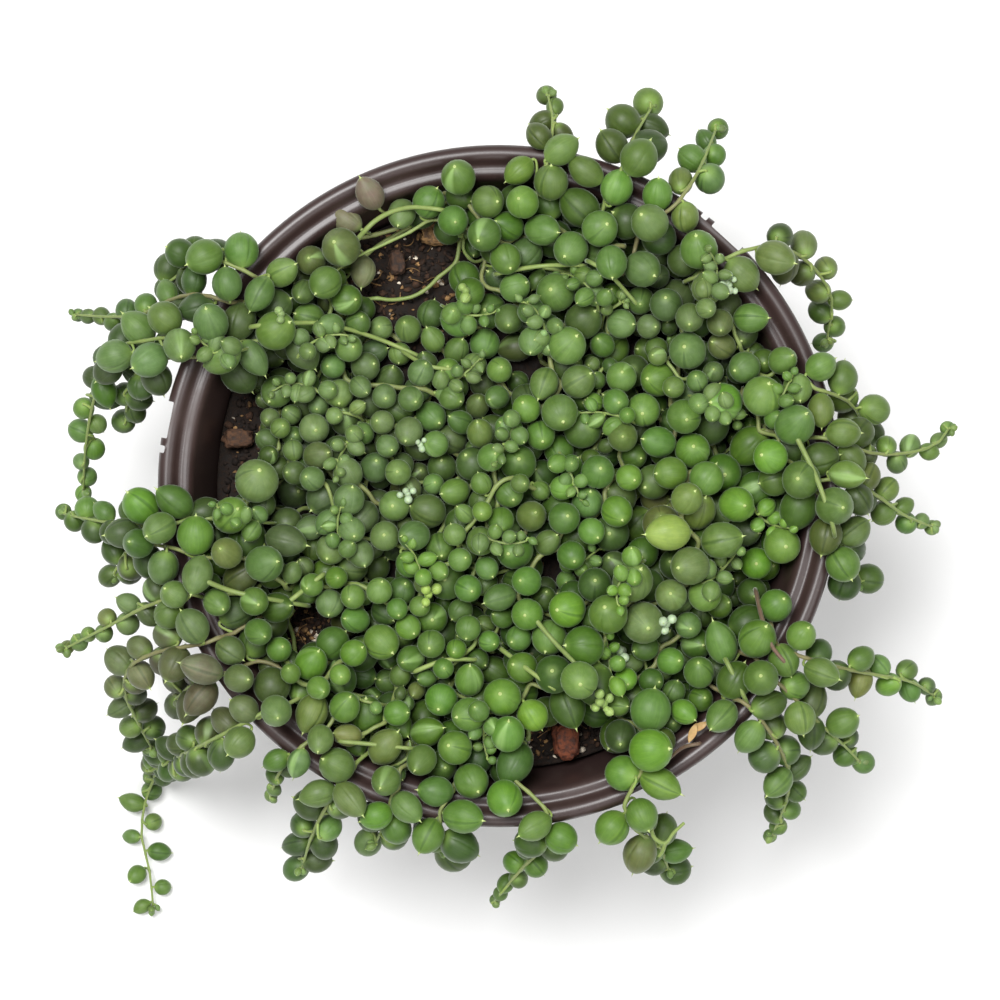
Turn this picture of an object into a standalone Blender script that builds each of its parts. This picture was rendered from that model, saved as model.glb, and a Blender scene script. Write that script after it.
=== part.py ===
"""A string of pearls in its round nursery pot, standing on a table.

Metres, +Z up. The origin is the middle of the pot's flat base and the pot's axis is +Z.
The pot is turned, the potting mix fills it, and every stem of the plant is one solid with the
leaves it carries. Stems named creeper lie on the mix, and stems named strand pass over the rim.
The plant is laid out in millimetres, as balls along lines, and made in metres.
"""

import math

import bmesh
import bpy
import numpy as np
from mathutils import Matrix, Vector

MM = 0.001

# Pot, in millimetres
RIM_TOP = 105.0
INNER_RADIUS = 74.0          # inside of the wall just under the rim
BASE_RADIUS = 55.5
FLOOR_THICK = 3.0
TURN_STEPS = 48
NOTCH_ANGLES = (168.7, 295.4, 47.6)   # where a wire hanger would clip on, degrees
NOTCH_LONG = 9.0
NOTCH_LUG = 1.8
HOLE_COUNT = 6
HOLE_RADIUS = 4.0
HOLE_RING = 36.0

# Potting mix, in millimetres
SOIL_LEVEL = 86.0            # at the wall
SOIL_DOME = 7.0              # how much higher it is in the middle
SOIL_STEPS = 36
WALL_GAP = 0.4

# Plant, in millimetres
STEM_ROOM = 0.8              # radius that a stem keeps free around its line
PETIOLE = 0.9                # stalk between a stem and its leaf
PITCH = 4.7                  # between leaves along a stem
GAP = 0.3                    # left between any two pieces
PACKING = 0.5                # share of the carpet's volume that is leaf
LOWER_CREEPERS = 13
UPPER_CREEPERS = 13
CREEPER_LEAVES = 31
CREEPER_LIMIT = 70.0         # furthest a creeping stem goes from the axis
LEAF_FULL = 3.75             # radius of a full-grown leaf on a creeping stem
SETTLE_ROUNDS = 200
QUIET_ROUNDS = 80            # last rounds, with no more sinking
SEED = 41

# What this model keeps of each stem
SOLID_LEAVES = 6
SOLID_LEAF_LEAST = 2.2       # smallest leaf radius made solid
SOLID_LEAF_SHARE = 0.95
SOLID_STEM_RADIUS = 0.48
LONGEST_CHORD = 9            # points of a stem that one straight stretch may skip
STRAIGHT = 1.8               # how far a stem may bow from its straight stretch
CLEAR = 0.12                 # kept between the solids

# Square grid that remembers how high the leaves are already piled
CELL = 2.0
CELLS = 90

# Places where the mix or the wall shows: middle x, y and half widths
OPEN_PLACES = [
    (-25, 54, 15, 13),
    (-69, 12, 13, 19),
    (17, -65, 14, 11),
    (-47, -34, 8, 8),
    (-53, -59, 9, 6),
    (55, 61, 12, 6),
]

# Dips in the carpet of leaves, where only the lowest leaves lie, spread evenly by the golden angle
DIP_COUNT = 16
DIP_SPREAD = 64.0            # radius that the dips are spread over
DIP_RADIUS = 5.8
DIP_TURN = 0.45               # of the first dip, in radians
GOLDEN_ANGLE = math.pi * (3 - math.sqrt(5))
DIPS = [
    (
        DIP_SPREAD * math.sqrt((k + 0.5) / DIP_COUNT) * math.cos(DIP_TURN + k * GOLDEN_ANGLE),
        DIP_SPREAD * math.sqrt((k + 0.5) / DIP_COUNT) * math.sin(DIP_TURN + k * GOLDEN_ANGLE),
        DIP_RADIUS,
        DIP_RADIUS,
    )
    for k in range(DIP_COUNT)
]
DIP_LEVEL = 8.0              # height over the mix under which a leaf may lie in a dip
LEAFLESS = 0.4               # bareness above which the stems carry no leaves

# Outline of the pot from the inner corner of its floor, over the rim, to the edge of its base
WALL_OUTLINE = [
    (54.0, FLOOR_THICK),
    (INNER_RADIUS, 101.0),
    (74.6, 102.8),
    (75.6, 103.2),
    (76.6, 102.6),
    (77.6, 103.0),
    (78.6, 104.4),
    (80.2, RIM_TOP),
    (81.8, 104.3),
    (82.5, 102.5),
    (81.2, 91.0),
    (79.9, 91.0),
    (79.4, 99.5),
    (76.4, 99.5),
    (BASE_RADIUS, 0.0),
]

# Stems that pass over the rim: route from the pot's axis with heights from the rim, then the
# radius of the first and the last leaf
STRANDS = {
    "northwest": (
        [(-50, 44, 3), (-58, 50, 5), (-67, 54, 4), (-74, 55, -3), (-79, 51, -14), (-81, 46, -25)],
        4.3, 3.0),
    "west_a": (
        [(-52, 38, 3), (-62, 43, 6), (-72, 46, 3), (-80, 45, -5), (-88, 42, -14), (-97, 42, -24),
         (-106, 43, -33)],
        4.2, 1.9),
    "west_b": (
        [(-46, 30, 3), (-60, 35, 6), (-73, 36, 6), (-85, 35, 1), (-94, 33, -9), (-100, 23, -23),
         (-104, 11, -36), (-106, -1, -46)],
        4.5, 2.2),
    "west_c": (
        [(-56, 28, 3), (-66, 30, 6), (-77, 31, 4), (-86, 29, -4), (-91, 24, -16), (-93, 17, -28)],
        4.4, 3.0),
    "left_a": (
        [(-52, -4, 2), (-64, -7, 6), (-76, -9, 6), (-86, -9, 0), (-94, -9, -9), (-102, -8, -18),
         (-108, -7, -26)],
        4.8, 2.4),
    "left_b": (
        [(-54, -15, 2), (-66, -16, 6), (-77, -15, 5), (-86, -14, -2), (-92, -17, -12),
         (-95, -22, -22)],
        4.4, 3.0),
    "lowleft_a": (
        [(-52, -24, 2), (-64, -24, 6), (-75, -26, 5), (-85, -29, -1), (-93, -33, -9),
         (-101, -37, -17), (-107, -40, -23)],
        4.2, 2.0),
    "lowleft_b": (
        [(-50, -32, 2), (-61, -35, 6), (-72, -38, 4), (-82, -40, -3), (-90, -44, -12),
         (-93, -51, -24), (-91, -60, -38), (-89, -67, -50)],
        4.0, 3.0),
    "lowleft_c": (
        [(-46, -38, 2), (-56, -42, 5), (-66, -45, 3), (-74, -48, -4), (-79, -52, -14)],
        4.5, 3.6),
    "long": (
        [(-36, -44, 1), (-46, -49, 4), (-56, -54, 5), (-65, -59, 2), (-74, -64, -10),
         (-81, -68, -31), (-86, -71, -55), (-90, -74, -78), (-93, -79, -94), (-96, -86, -100),
         (-97, -95, -101), (-95, -104, -101.5), (-94, -114, -102)],
        4.1, 2.3),
    "south_a": (
        [(-34, -50, 2), (-41, -57, 5), (-48, -63, 4), (-53, -69, -3), (-56, -76, -13)],
        4.0, 1.8),
    "south_b": (
        [(-28, -54, 2), (-33, -62, 5), (-37, -70, 4), (-42, -78, -3), (-46, -86, -14),
         (-49, -95, -27)],
        4.2, 3.4),
    "south_c": (
        [(-18, -56, 2), (-21, -64, 5), (-25, -72, 5), (-27, -80, -2), (-30, -87, -12)],
        4.2, 3.6),
    "south_d": (
        [(-8, -58, 2), (-11, -66, 5), (-14, -74, 5), (-14, -82, 0), (-13, -89, -10)],
        4.6, 4.6),
    "south_e": (
        [(4, -56, 0), (8, -64, 3), (10, -72, 5), (12, -80, 3), (11, -87, -5), (5, -95, -18),
         (-1, -104, -32)],
        4.6, 1.6),
    "south_f": (
        [(28, -52, 2), (33, -60, 5), (33, -69, 6), (30, -76, 5), (33, -83, -1), (39, -88, -11),
         (42, -95, -24)],
        4.9, 3.6),
    "southeast_a": (
        [(46, -42, 2), (54, -48, 5), (61, -54, 5), (67, -62, -1), (71, -71, -12), (71, -80, -26),
         (69, -88, -38)],
        4.5, 2.0),
    "southeast_b": (
        [(54, -36, 2), (62, -43, 5), (70, -50, 3), (77, -57, -4), (84, -63, -13), (89, -68, -20)],
        4.3, 2.8),
    "east_a": (
        [(54, -30, 2), (63, -37, 6), (73, -41, 5), (83, -44, -1), (92, -46, -8), (101, -48, -16),
         (108, -52, -25)],
        4.3, 2.3),
    "east_b": (
        [(56, 26, 3), (65, 18, 6), (72, 8, 7), (78, -4, 6), (83, -14, 1), (88, -23, -8)],
        4.8, 4.2),
    "east_c": (
        [(62, 4, 3), (72, 3, 6), (82, 1, 4), (91, -2, -4), (99, -7, -13), (107, -10, -22)],
        4.5, 2.0),
    "east_d": (
        [(60, 16, 3), (70, 13, 6), (80, 11, 4), (90, 8, -3), (99, 8, -10), (107, 10, -16),
         (111, 14, -20)],
        4.2, 2.0),
    "east_e": (
        [(56, 30, 3), (66, 26, 6), (77, 23, 5), (85, 20, -3), (90, 14, -13)],
        4.2, 3.6),
    "northeast_a": (
        [(42, 48, 3), (51, 53, 6), (61, 57, 5), (70, 57, -2), (77, 53, -10), (82, 46, -18),
         (82, 37, -29)],
        4.3, 2.7),
    "north_a": (
        [(26, 52, 3), (34, 60, 6), (42, 67, 6), (47, 74, 3), (50, 80, -4), (53, 87, -13)],
        4.5, 2.6),
    "north_b": (
        [(18, 54, 3), (23, 62, 6), (27, 70, 6), (30, 78, 4), (33, 85, -2), (37, 92, -10)],
        4.5, 3.8),
    "north_c": (
        [(4, 56, 3), (7, 64, 6), (10, 72, 6), (12, 80, 4), (13, 88, -2), (12, 95, -9)],
        4.3, 2.4),
    "inner_arc": (
        [(4, 46, 2), (-6, 53, 1), (-11, 61, 1), (-17, 67, 2), (-24, 68.5, 3), (-32, 65, 4),
         (-39, 59, 4)],
        3.8, 4.5),
}

# Bark pieces on the mix: name, middle x and y, half sizes, heading in degrees
BARK = [
    ("bark_red", 17, -63, (5.5, 2.8, 1.5), 65),
    ("bark_wall", -64, 12, (4.2, 2.4, 1.2), 20),
    ("bark_north", -15, 62, (4.6, 2.6, 1.6), 150),
    ("bark_side", -25, 55, (3.4, 2.2, 1.3), 80),
]


# ---------------------------------------------------------------- layout of the plant

def soil_height(x, y):
    rho = np.hypot(x, y)
    dome = SOIL_DOME * (1 - (rho / INNER_RADIUS) ** 2)
    lumps = 0.8 * np.sin(x / 7 + 1) * np.cos(y / 8) + 0.5 * np.sin(x / 3.6 - y / 4.4)
    low_side = 3.0 / (1 + np.exp((x + 45) / 6))
    return SOIL_LEVEL + dome + lumps - low_side


class Carpet:
    """Height of the leaves laid so far, on a square grid over the pot."""

    def __init__(self):
        axis = (np.arange(CELLS) - CELLS / 2 + 0.5) * CELL
        self.x, self.y = np.meshgrid(axis, axis, indexing="ij")
        self.soil = soil_height(self.x, self.y)
        self.leaves = np.zeros_like(self.soil)

    def cell(self, x, y):
        return tuple(min(CELLS - 1, max(0, int(v / CELL + CELLS / 2))) for v in (x, y))

    def height(self, x, y):
        cell = self.cell(x, y)
        return float(self.soil[cell] + self.leaves[cell])

    def cost(self, x, y):
        cell = self.cell(x, y)
        return float(0.2 * self.soil[cell] + self.leaves[cell])

    def cover(self, x, y, radius):
        spread = 1.1 * radius
        share = np.exp(-((self.x - x) ** 2 + (self.y - y) ** 2) / (2 * spread ** 2))
        volume = 4 / 3 * math.pi * radius ** 3 / PACKING
        self.leaves += volume / (2 * math.pi * spread ** 2) * share


def bareness(x, y, places=OPEN_PLACES):
    return sum(
        max(0.0, 1.25 - math.hypot((x - cx) / wx, (y - cy) / wy)) for cx, cy, wx, wy in places
    )


def crawl(carpet, start, heading, limit, rng):
    """Plan of a stem that creeps towards the thinnest places of the carpet."""
    plan = [np.array(start, float)]
    for _ in range(CREEPER_LEAVES):
        best = None
        for turn in (-0.6, -0.25, 0.0, 0.25, 0.6):
            angle = heading + turn
            x = plan[-1][0] + PITCH * math.cos(angle)
            y = plan[-1][1] + PITCH * math.sin(angle)
            over = max(0.0, math.hypot(x, y) - limit)
            cost = carpet.cost(x, y) + 3 * over + 60 * bareness(x, y)
            cost += 9 * bareness(x, y, DIPS) + 1.6 * abs(turn) + rng.uniform(0, 1.6)
            if best is None or cost < best[0]:
                best = (cost, angle, x, y)
        heading = best[1]
        plan.append(np.array(best[2:], float))
    return plan


def halved(points):
    """The same line with a point midway in each stretch."""
    out = [points[0]]
    for a, b in zip(points, points[1:]):
        out += [(a + b) / 2, b]
    return out


def lay_creeper(carpet, start, full, limit, rng):
    """A creeping stem and its leaves: points, leaves as (centre, radius, stem point), hold."""
    plan = crawl(carpet, start, rng.uniform(0, 2 * math.pi), limit, rng)
    leaves = []
    for k, here in enumerate(plan[1:], 1):
        ahead = here - plan[k - 1]
        along = math.atan2(ahead[1], ahead[0])
        side = 1 if k % 2 else -1
        young = 1 - 0.52 * max(0.0, 2 * k / CREEPER_LEAVES - 1) ** 1.3
        radius = full * young * rng.uniform(0.86, 1.14)
        best = None
        for swing in (1.25, 1.7, 0.75, -1.25):
            angle = along + side * swing
            x = here[0] + (radius + PETIOLE) * math.cos(angle)
            y = here[1] + (radius + PETIOLE) * math.sin(angle)
            over = max(0.0, math.hypot(x, y) - limit - 2)
            cost = carpet.cost(x, y) + 60 * bareness(x, y) + 9 * bareness(x, y, DIPS)
            cost += 5 * over + rng.uniform(0, 0.8)
            if best is None or cost < best[0]:
                best = (cost, x, y)
        point = np.array([*best[1:], carpet.height(*best[1:]) + radius])
        carpet.cover(point[0], point[1], radius)
        leaves.append((point, radius, 2 * k))
    stem = []
    for k, here in enumerate(plan):
        near = [p[2] for p, _, j in leaves if abs(j / 2 - k) < 2]
        stem.append(np.array([here[0], here[1], sum(near) / len(near)]))
    stem = halved(stem)
    return stem, leaves, [0.0] * len(stem)


def even_route(points):
    """Evenly spaced points along a smooth curve through the route."""
    pts = [np.array(p, float) for p in points]
    pts = [2 * pts[0] - pts[1], *pts, 2 * pts[-1] - pts[-2]]
    fine = []
    for a, b, c, d in zip(pts, pts[1:], pts[2:], pts[3:]):
        for t in np.linspace(0, 1, 24, endpoint=False):
            bow = (2 * a - 5 * b + 4 * c - d) * t + (3 * b - a - 3 * c + d) * t * t
            fine.append(b + 0.5 * t * (c - a + bow))
    fine = np.array([*fine, pts[-2]])
    steps = np.linalg.norm(np.diff(fine, axis=0), axis=1)
    run = np.concatenate([[0], np.cumsum(steps)])
    at = np.linspace(0, run[-1], max(3, round(run[-1] / PITCH)) + 1)
    return [np.array([np.interp(s, run, fine[:, i]) for i in range(3)]) for s in at]


def hang_strand(carpet, route, first, last, rng):
    """A stem that leaves the pot over the rim: points, leaves and hold, as lay_creeper gives."""
    stem = even_route([(x, y, z + RIM_TOP) for x, y, z in route])
    for p in stem:
        inside = min(1.0, max(0.0, (80 - math.hypot(p[0], p[1])) / 8))
        p[2] += inside * max(0.0, carpet.height(p[0], p[1]) + 1 - p[2])
    leaves = []
    for k in range(1, len(stem)):
        share = (k / (len(stem) - 1)) ** 1.5
        radius = (first + (last - first) * share) * rng.uniform(0.88, 1.12)
        ahead = stem[k] - stem[k - 1]
        side = np.cross(ahead, (0, 0, 1.0))
        side = side / np.linalg.norm(side)
        up = np.cross(side, ahead / np.linalg.norm(ahead))
        turn = (0.5 if k % 2 else -0.5) * math.pi + rng.uniform(-0.7, 0.7)
        point = stem[k] + (radius + PETIOLE) * (math.sin(turn) * side + math.cos(turn) * up)
        point[2] = max(point[2], radius + GAP)
        if math.hypot(point[0], point[1]) < INNER_RADIUS:
            carpet.cover(point[0], point[1], radius)
        leaves.append((point, radius, 2 * k))
    stem = halved(stem)
    hold = [min(1.0, max(0.0, (math.hypot(p[0], p[1]) - 76) / 6)) for p in stem]
    return stem, leaves, hold


def near_pairs(points, radii, vine, order, leaf, margin):
    """Index pairs close enough to touch soon, leaving out a stem and the leaves at that place."""
    first, second = [], []
    by_x = np.argsort(points[:, 0], kind="stable")
    x, p, r = points[by_x, 0], points[by_x], radii[by_x]
    widest = 2 * radii.max() + margin
    for a in range(0, len(p), 200):
        end = min(a + 200, len(p))
        stop = int(np.searchsorted(x, x[end - 1] + widest))
        apart = ((p[a:end, None, :] - p[None, a:stop, :]) ** 2).sum(2)
        reach = r[a:end, None] + r[None, a:stop] + margin
        i, j = np.nonzero(apart < reach * reach)
        keep = i < j
        first.append(by_x[i[keep] + a])
        second.append(by_x[j[keep] + a])
    i, j = np.concatenate(first), np.concatenate(second)
    own = (vine[i] == vine[j]) & (np.abs(order[i] - order[j]) <= 4) & ~(leaf[i] & leaf[j])
    return i[~own], j[~own]


def push(points, i, j, shift, free):
    """Moves both ends of each pair apart by shift along the line between them."""
    line = points[i] - points[j]
    length = np.maximum(np.linalg.norm(line, axis=1), 1e-6)
    wi, wj = free[i], free[j]
    amount = shift(length) / length / np.maximum(wi + wj, 1e-6)
    moves = line * amount[:, None]
    n = len(points)
    count = np.bincount(i, amount != 0, n) + np.bincount(j, amount != 0, n)
    for axis in range(3):
        total = np.bincount(i, moves[:, axis] * wi, n) - np.bincount(j, moves[:, axis] * wj, n)
        points[:, axis] += 1.3 * total / np.maximum(count, 1) ** 0.75


def keep_off_pot(points, radii, creeps, inner):
    """Moves every ball out of the wall, the rim, the mix and the table."""
    rho = np.hypot(points[:, 0], points[:, 1])
    near = np.nonzero(rho > 52)[0]
    at, z = rho[near], points[near, 2]
    best = np.full(len(near), 99.0)
    out_r, out_z = np.zeros(len(near)), np.zeros(len(near))
    for (r0, z0), (r1, z1) in zip(WALL_OUTLINE, WALL_OUTLINE[1:]):
        dr, dz = r1 - r0, z1 - z0
        t = np.clip(((at - r0) * dr + (z - z0) * dz) / (dr * dr + dz * dz), 0, 1)
        cr, cz = at - r0 - t * dr, z - z0 - t * dz
        away = np.hypot(cr, cz)
        nearer = away < best
        best[nearer], out_r[nearer], out_z[nearer] = away[nearer], cr[nearer], cz[nearer]
    scale = np.maximum(0, radii[near] + GAP - best) / np.maximum(best, 1e-6)
    grown = (at + out_r * scale) / at
    points[near, 0] *= grown
    points[near, 1] *= grown
    points[near, 2] += out_z * scale
    rho = np.hypot(points[:, 0], points[:, 1])
    wall = INNER_RADIUS - 0.2 * np.maximum(0, 101 - points[:, 2]) - radii - GAP
    wall += np.clip(points[:, 2] - 101, 0, radii + 2)
    trapped = (rho > wall) & (creeps | inner & (points[:, 2] < 101))
    shrink = np.where(trapped, wall / np.maximum(rho, 1e-6), 1)
    points[:, 0] *= shrink
    points[:, 1] *= shrink
    low = soil_height(points[:, 0], points[:, 1]) + radii + GAP
    points[:, 2] = np.where(rho < INNER_RADIUS, np.maximum(points[:, 2], low), points[:, 2])
    points[:, 2] = np.maximum(points[:, 2], radii + GAP)


def keep_places_bare(points, hold):
    """Pushes leaves out of the open places, and all but the lowest out of the dips."""
    high = points[:, 2] > soil_height(points[:, 0], points[:, 1]) + DIP_LEVEL
    for number, (cx, cy, wx, wy) in enumerate(OPEN_PLACES + DIPS):
        dx, dy = (points[:, 0] - cx) / (wx + 1), (points[:, 1] - cy) / (wy + 1)
        off = np.maximum(np.hypot(dx, dy), 1e-6)
        moved = (off < 1) & (hold < 0.05) & (high | (number < len(OPEN_PLACES)))
        out = np.where(moved, np.minimum(0.5, 8 * (1 - off)), 0)
        moves = points[:, :2] * 0
        moves[:, 0], moves[:, 1] = out * dx / off, out * dy / off
        rho = np.maximum(np.hypot(points[:, 0], points[:, 1]), 1e-6)
        outward = np.maximum(0, (moves * points[:, :2]).sum(1) / rho) * np.clip((rho - 50) / 12, 0, 1)
        points[:, :2] += moves - points[:, :2] * (outward / rho)[:, None]


def settle(points, radii, vine, order, leaf, hold, creeps, links):
    """Lets stems and leaves sink until they rest on each other, with none inside another."""
    free = 1 - 0.93 * hold
    home = points.copy()
    inner = np.hypot(home[:, 0], home[:, 1]) < 76
    chain, bend, petiole = links
    chain_length = np.minimum(
        np.linalg.norm(points[chain[:, 0]] - points[chain[:, 1]], axis=1), PITCH / 2 * 1.05
    )
    bend_length = 0.9 * np.linalg.norm(points[bend[:, 0]] - points[bend[:, 1]], axis=1)
    petiole_length = radii[petiole[:, 1]] + PETIOLE
    sink = np.where(hold > 0, 0.02, 0.14)
    pull = 0.25 * hold[:, None]
    for turn in range(SETTLE_ROUNDS):
        if turn % 10 == 0:
            i, j = near_pairs(points, radii, vine, order, leaf, 2.0)
            reach = radii[i] + radii[j] + GAP
        resting = turn >= SETTLE_ROUNDS - QUIET_ROUNDS
        if not resting:
            points[:, 2] -= sink
        if turn < SETTLE_ROUNDS - QUIET_ROUNDS / 3:
            keep_places_bare(points, hold)
        push(points, chain[:, 0], chain[:, 1], lambda d: chain_length - d, free)
        push(points, bend[:, 0], bend[:, 1], lambda d: np.maximum(0, bend_length - d) * 0.4, free)
        push(points, petiole[:, 1], petiole[:, 0],
             lambda d: np.clip(petiole_length - d, -0.6, 0.6), free)
        points += (home - points) * pull
        for _ in range(2 if resting else 1):
            push(points, i, j, lambda d: np.maximum(0, reach - d), free)
            push(points, chain[:, 0], chain[:, 1], lambda d: np.minimum(0, chain_length * 1.15 - d),
                 free)
        keep_off_pot(points, radii, creeps, inner)
    return points


def plan_plant():
    """Every stem as planned, before it settles."""
    carpet = Carpet()
    plans = {}
    rng = np.random.default_rng(SEED)

    def creep(first, total, limit):
        for i in range(total):
            turn = math.radians(137.5) * (i + first)
            rho = 66 * math.sqrt((i + 0.5) / total)
            start = np.array([rho * math.cos(turn), rho * math.sin(turn)])
            if bareness(*start) > 0:
                start = start * 0.7
            full = LEAF_FULL + 0.55 * math.tanh((start[0] + 8) / 25) + rng.uniform(-0.45, 0.35)
            name = f"creeper_{first + i + 1:02d}"
            plans[name] = lay_creeper(carpet, start, full, limit, rng)

    creep(0, LOWER_CREEPERS, CREEPER_LIMIT + 1)
    for name, (route, first, last) in STRANDS.items():
        plans["strand_" + name] = hang_strand(carpet, route, first, last, rng)
    creep(LOWER_CREEPERS, UPPER_CREEPERS, CREEPER_LIMIT - 1)
    return plans


def in_the_way(centre):
    """True for a leaf over an open place, or high over a dip."""
    x, y, z = centre
    high = z > soil_height(x, y) + DIP_LEVEL
    return bareness(x, y) > LEAFLESS or (high and bareness(x, y, DIPS) > LEAFLESS)


def grow():
    """Each stem's points and its leaves as (centre, radius, point where the leaf joins)."""
    plans = plan_plant()
    points, radii, vine, order, leaf, hold, creeps = [], [], [], [], [], [], []
    chain, bend, petiole = [], [], []
    starts = {}
    for number, (name, (stem, leaves, held)) in enumerate(plans.items()):
        base = len(points)
        starts[name] = base
        points += stem + [p for p, _, _ in leaves]
        radii += [STEM_ROOM] * len(stem) + [r for _, r, _ in leaves]
        vine += [number] * (len(stem) + len(leaves))
        order += list(range(len(stem))) + [j for _, _, j in leaves]
        leaf += [False] * len(stem) + [True] * len(leaves)
        hold += held + [0.0] * len(leaves)
        creeps += [name.startswith("creeper")] * (len(stem) + len(leaves))
        chain += [(base + k, base + k + 1) for k in range(len(stem) - 1)]
        bend += [(base + k, base + k + 3) for k in range(len(stem) - 3)]
        petiole += [(base + j, base + len(stem) + k) for k, (_, _, j) in enumerate(leaves)]
    links = [np.array(link) for link in (chain, bend, petiole)]
    balls = (points, radii, vine, order, leaf, hold, creeps)
    placed = settle(*(np.array(values) for values in balls), links)
    plant = {}
    for name, (stem, leaves, _) in plans.items():
        base = starts[name]
        line = placed[base:base + len(stem)]
        centres = placed[base + len(stem):base + len(stem) + len(leaves)]
        grown = [(c, r, line[j]) for c, (_, r, j) in zip(centres, leaves)]
        plant[name] = (line, [leaf for leaf in grown if not in_the_way(leaf[0])])
    return plant


# ---------------------------------------------------------------- what becomes solid

def along(a, b, step=0.5):
    count = max(2, math.ceil(np.linalg.norm(b - a) / step) + 1)
    return [a + (b - a) * t for t in np.linspace(0, 1, count)]


def clearance(a, b, centres, radii):
    """Least distance from the stretch a to b to any of the balls' surfaces."""
    if not len(centres):
        return 99.0
    line = b - a
    t = np.clip(((centres - a) @ line) / max(line @ line, 1e-9), 0, 1)
    return float((np.linalg.norm(centres - a - t[:, None] * line, axis=1) - radii).min())


class Solids:
    """Balls that stand for the solids chosen so far, each with its stem's name."""

    def __init__(self):
        self.centres, self.radii, self.names = [], [], []

    def add(self, points, radius, name):
        self.centres += list(points)
        self.radii += [radius] * len(points)
        self.names += [name] * len(points)

    def others(self, name):
        keep = np.array(self.names) != name
        return np.array(self.centres)[keep], np.array(self.radii)[keep]


def pot_clear(a, b, radius):
    """True if a round stretch from a to b stays off the pot's wall and the mix."""
    for p in along(a, b):
        rho, z = math.hypot(p[0], p[1]), p[2]
        if rho < INNER_RADIUS and z - radius < soil_height(p[0], p[1]):
            return False
        for (r0, z0), (r1, z1) in zip(WALL_OUTLINE, WALL_OUTLINE[1:]):
            dr, dz = r1 - r0, z1 - z0
            t = min(1, max(0, ((rho - r0) * dr + (z - z0) * dz) / (dr * dr + dz * dz)))
            if math.hypot(rho - r0 - t * dr, z - z0 - t * dz) < radius + 0.25:
                return False
    return True


def thin_stems(plant):
    """Fewer points along each stem, where the straight stretch between them stays clear."""
    whole = Solids()
    for name, (line, _) in plant.items():
        for a, b in zip(line, line[1:]):
            whole.add(along(a, b, 0.8), SOLID_STEM_RADIUS, name)
    thinned, done = {}, Solids()
    for name, (line, _) in plant.items():
        centres, radii = whole.others(name)
        if done.names:
            more, wide = done.others(name)
            centres, radii = np.concatenate([centres, more]), np.concatenate([radii, wide])
        keep, at = [0], 0
        while at < len(line) - 1:
            widest = (-99.0, 1)
            for step in range(min(LONGEST_CHORD, len(line) - 1 - at), 0, -1):
                a, b = line[at], line[at + step]
                bow = max(np.linalg.norm(np.cross(p - a, b - a)) for p in line[at:at + step + 1])
                if bow / max(np.linalg.norm(b - a), 1e-6) > STRAIGHT and step > 1:
                    continue
                room = clearance(a, b, centres, radii) - SOLID_STEM_RADIUS
                if not pot_clear(a, b, SOLID_STEM_RADIUS):
                    room = min(room, 0) - 9
                widest = max(widest, (room, step))
                if room > CLEAR:
                    break
            if name.startswith("creeper") and at > len(line) / 2 and -5 < widest[0] < 0:
                break        # the solid ends where its stem would cut into another
            at += widest[1] if widest[0] <= CLEAR else step
            keep.append(at)
        thinned[name] = [line[k] for k in keep]
        for a, b in zip(thinned[name], thinned[name][1:]):
            done.add(along(a, b), SOLID_STEM_RADIUS, name)
    return thinned, done


def nearest_on(line, point):
    best = None
    for a, b in zip(line, line[1:]):
        span = b - a
        t = min(1, max(0, ((point - a) @ span) / max(span @ span, 1e-9)))
        foot = a + span * t
        gap = np.linalg.norm(point - foot)
        if best is None or gap < best[0]:
            best = (gap, foot)
    return best


def leaf_balls(centre, size, foot):
    """Balls that fill a solid leaf and the taper from it to its stem."""
    reach = np.linalg.norm(foot - centre)
    balls = [(centre, size)]
    for share in (0.45, 0.6, 0.75, 0.9, 1.0):
        width = 0.9 * size * reach * (1 - share) / (reach - 0.447 * size)
        balls.append((centre + (foot - centre) * share, max(0.3, width)))
    return balls


def choose_leaves(plant, thinned, solids):
    """The leaves made solid: the largest ones that stay clear of every other stem's solid."""
    chosen = {name: [] for name in plant}
    for name, (_, leaves) in plant.items():
        for centre, radius, _ in sorted(leaves, key=lambda leaf: -leaf[1]):
            if len(chosen[name]) == SOLID_LEAVES or radius < SOLID_LEAF_LEAST:
                break
            size = radius * SOLID_LEAF_SHARE
            gap, foot = nearest_on(thinned[name], centre)
            if not size + 0.2 < gap < size + 3.5:
                continue
            centres, radii = solids.others(name)
            balls = leaf_balls(centre, size, foot)
            if not all(
                pot_clear(c, c, r) and clearance(c, c, centres, radii) > r + CLEAR for c, r in balls
            ):
                continue
            if any(np.linalg.norm(c - centre) < size + r + 0.3 for c, r, _ in chosen[name]):
                continue
            chosen[name].append((centre, size, foot))
            for c, r in balls:
                solids.add([c], r, name)
    return chosen


# ---------------------------------------------------------------- making the objects

def clear_scene():
    for obj in list(bpy.data.objects):
        bpy.data.objects.remove(obj, do_unlink=True)
    for group in (bpy.data.meshes, bpy.data.curves, bpy.data.materials):
        for block in list(group):
            group.remove(block)


def new_collection(name):
    collection = bpy.data.collections.new(name)
    bpy.context.scene.collection.children.link(collection)
    return collection


def make_material(name, color, roughness):
    material = bpy.data.materials.new(name)
    material.use_nodes = True
    shader = material.node_tree.nodes["Principled BSDF"]
    shader.inputs["Base Color"].default_value = (*color, 1)
    shader.inputs["Roughness"].default_value = roughness
    shader.inputs["Metallic"].default_value = 0
    material.diffuse_color = (*color, 1)
    return material


def add_object(name, data, collection, material=None):
    obj = bpy.data.objects.new(name, data)
    collection.objects.link(obj)
    if material:
        data.materials.append(material)
    return obj


def as_cutter(obj):
    obj.hide_render = True
    obj.display_type = "WIRE"
    return obj


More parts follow.
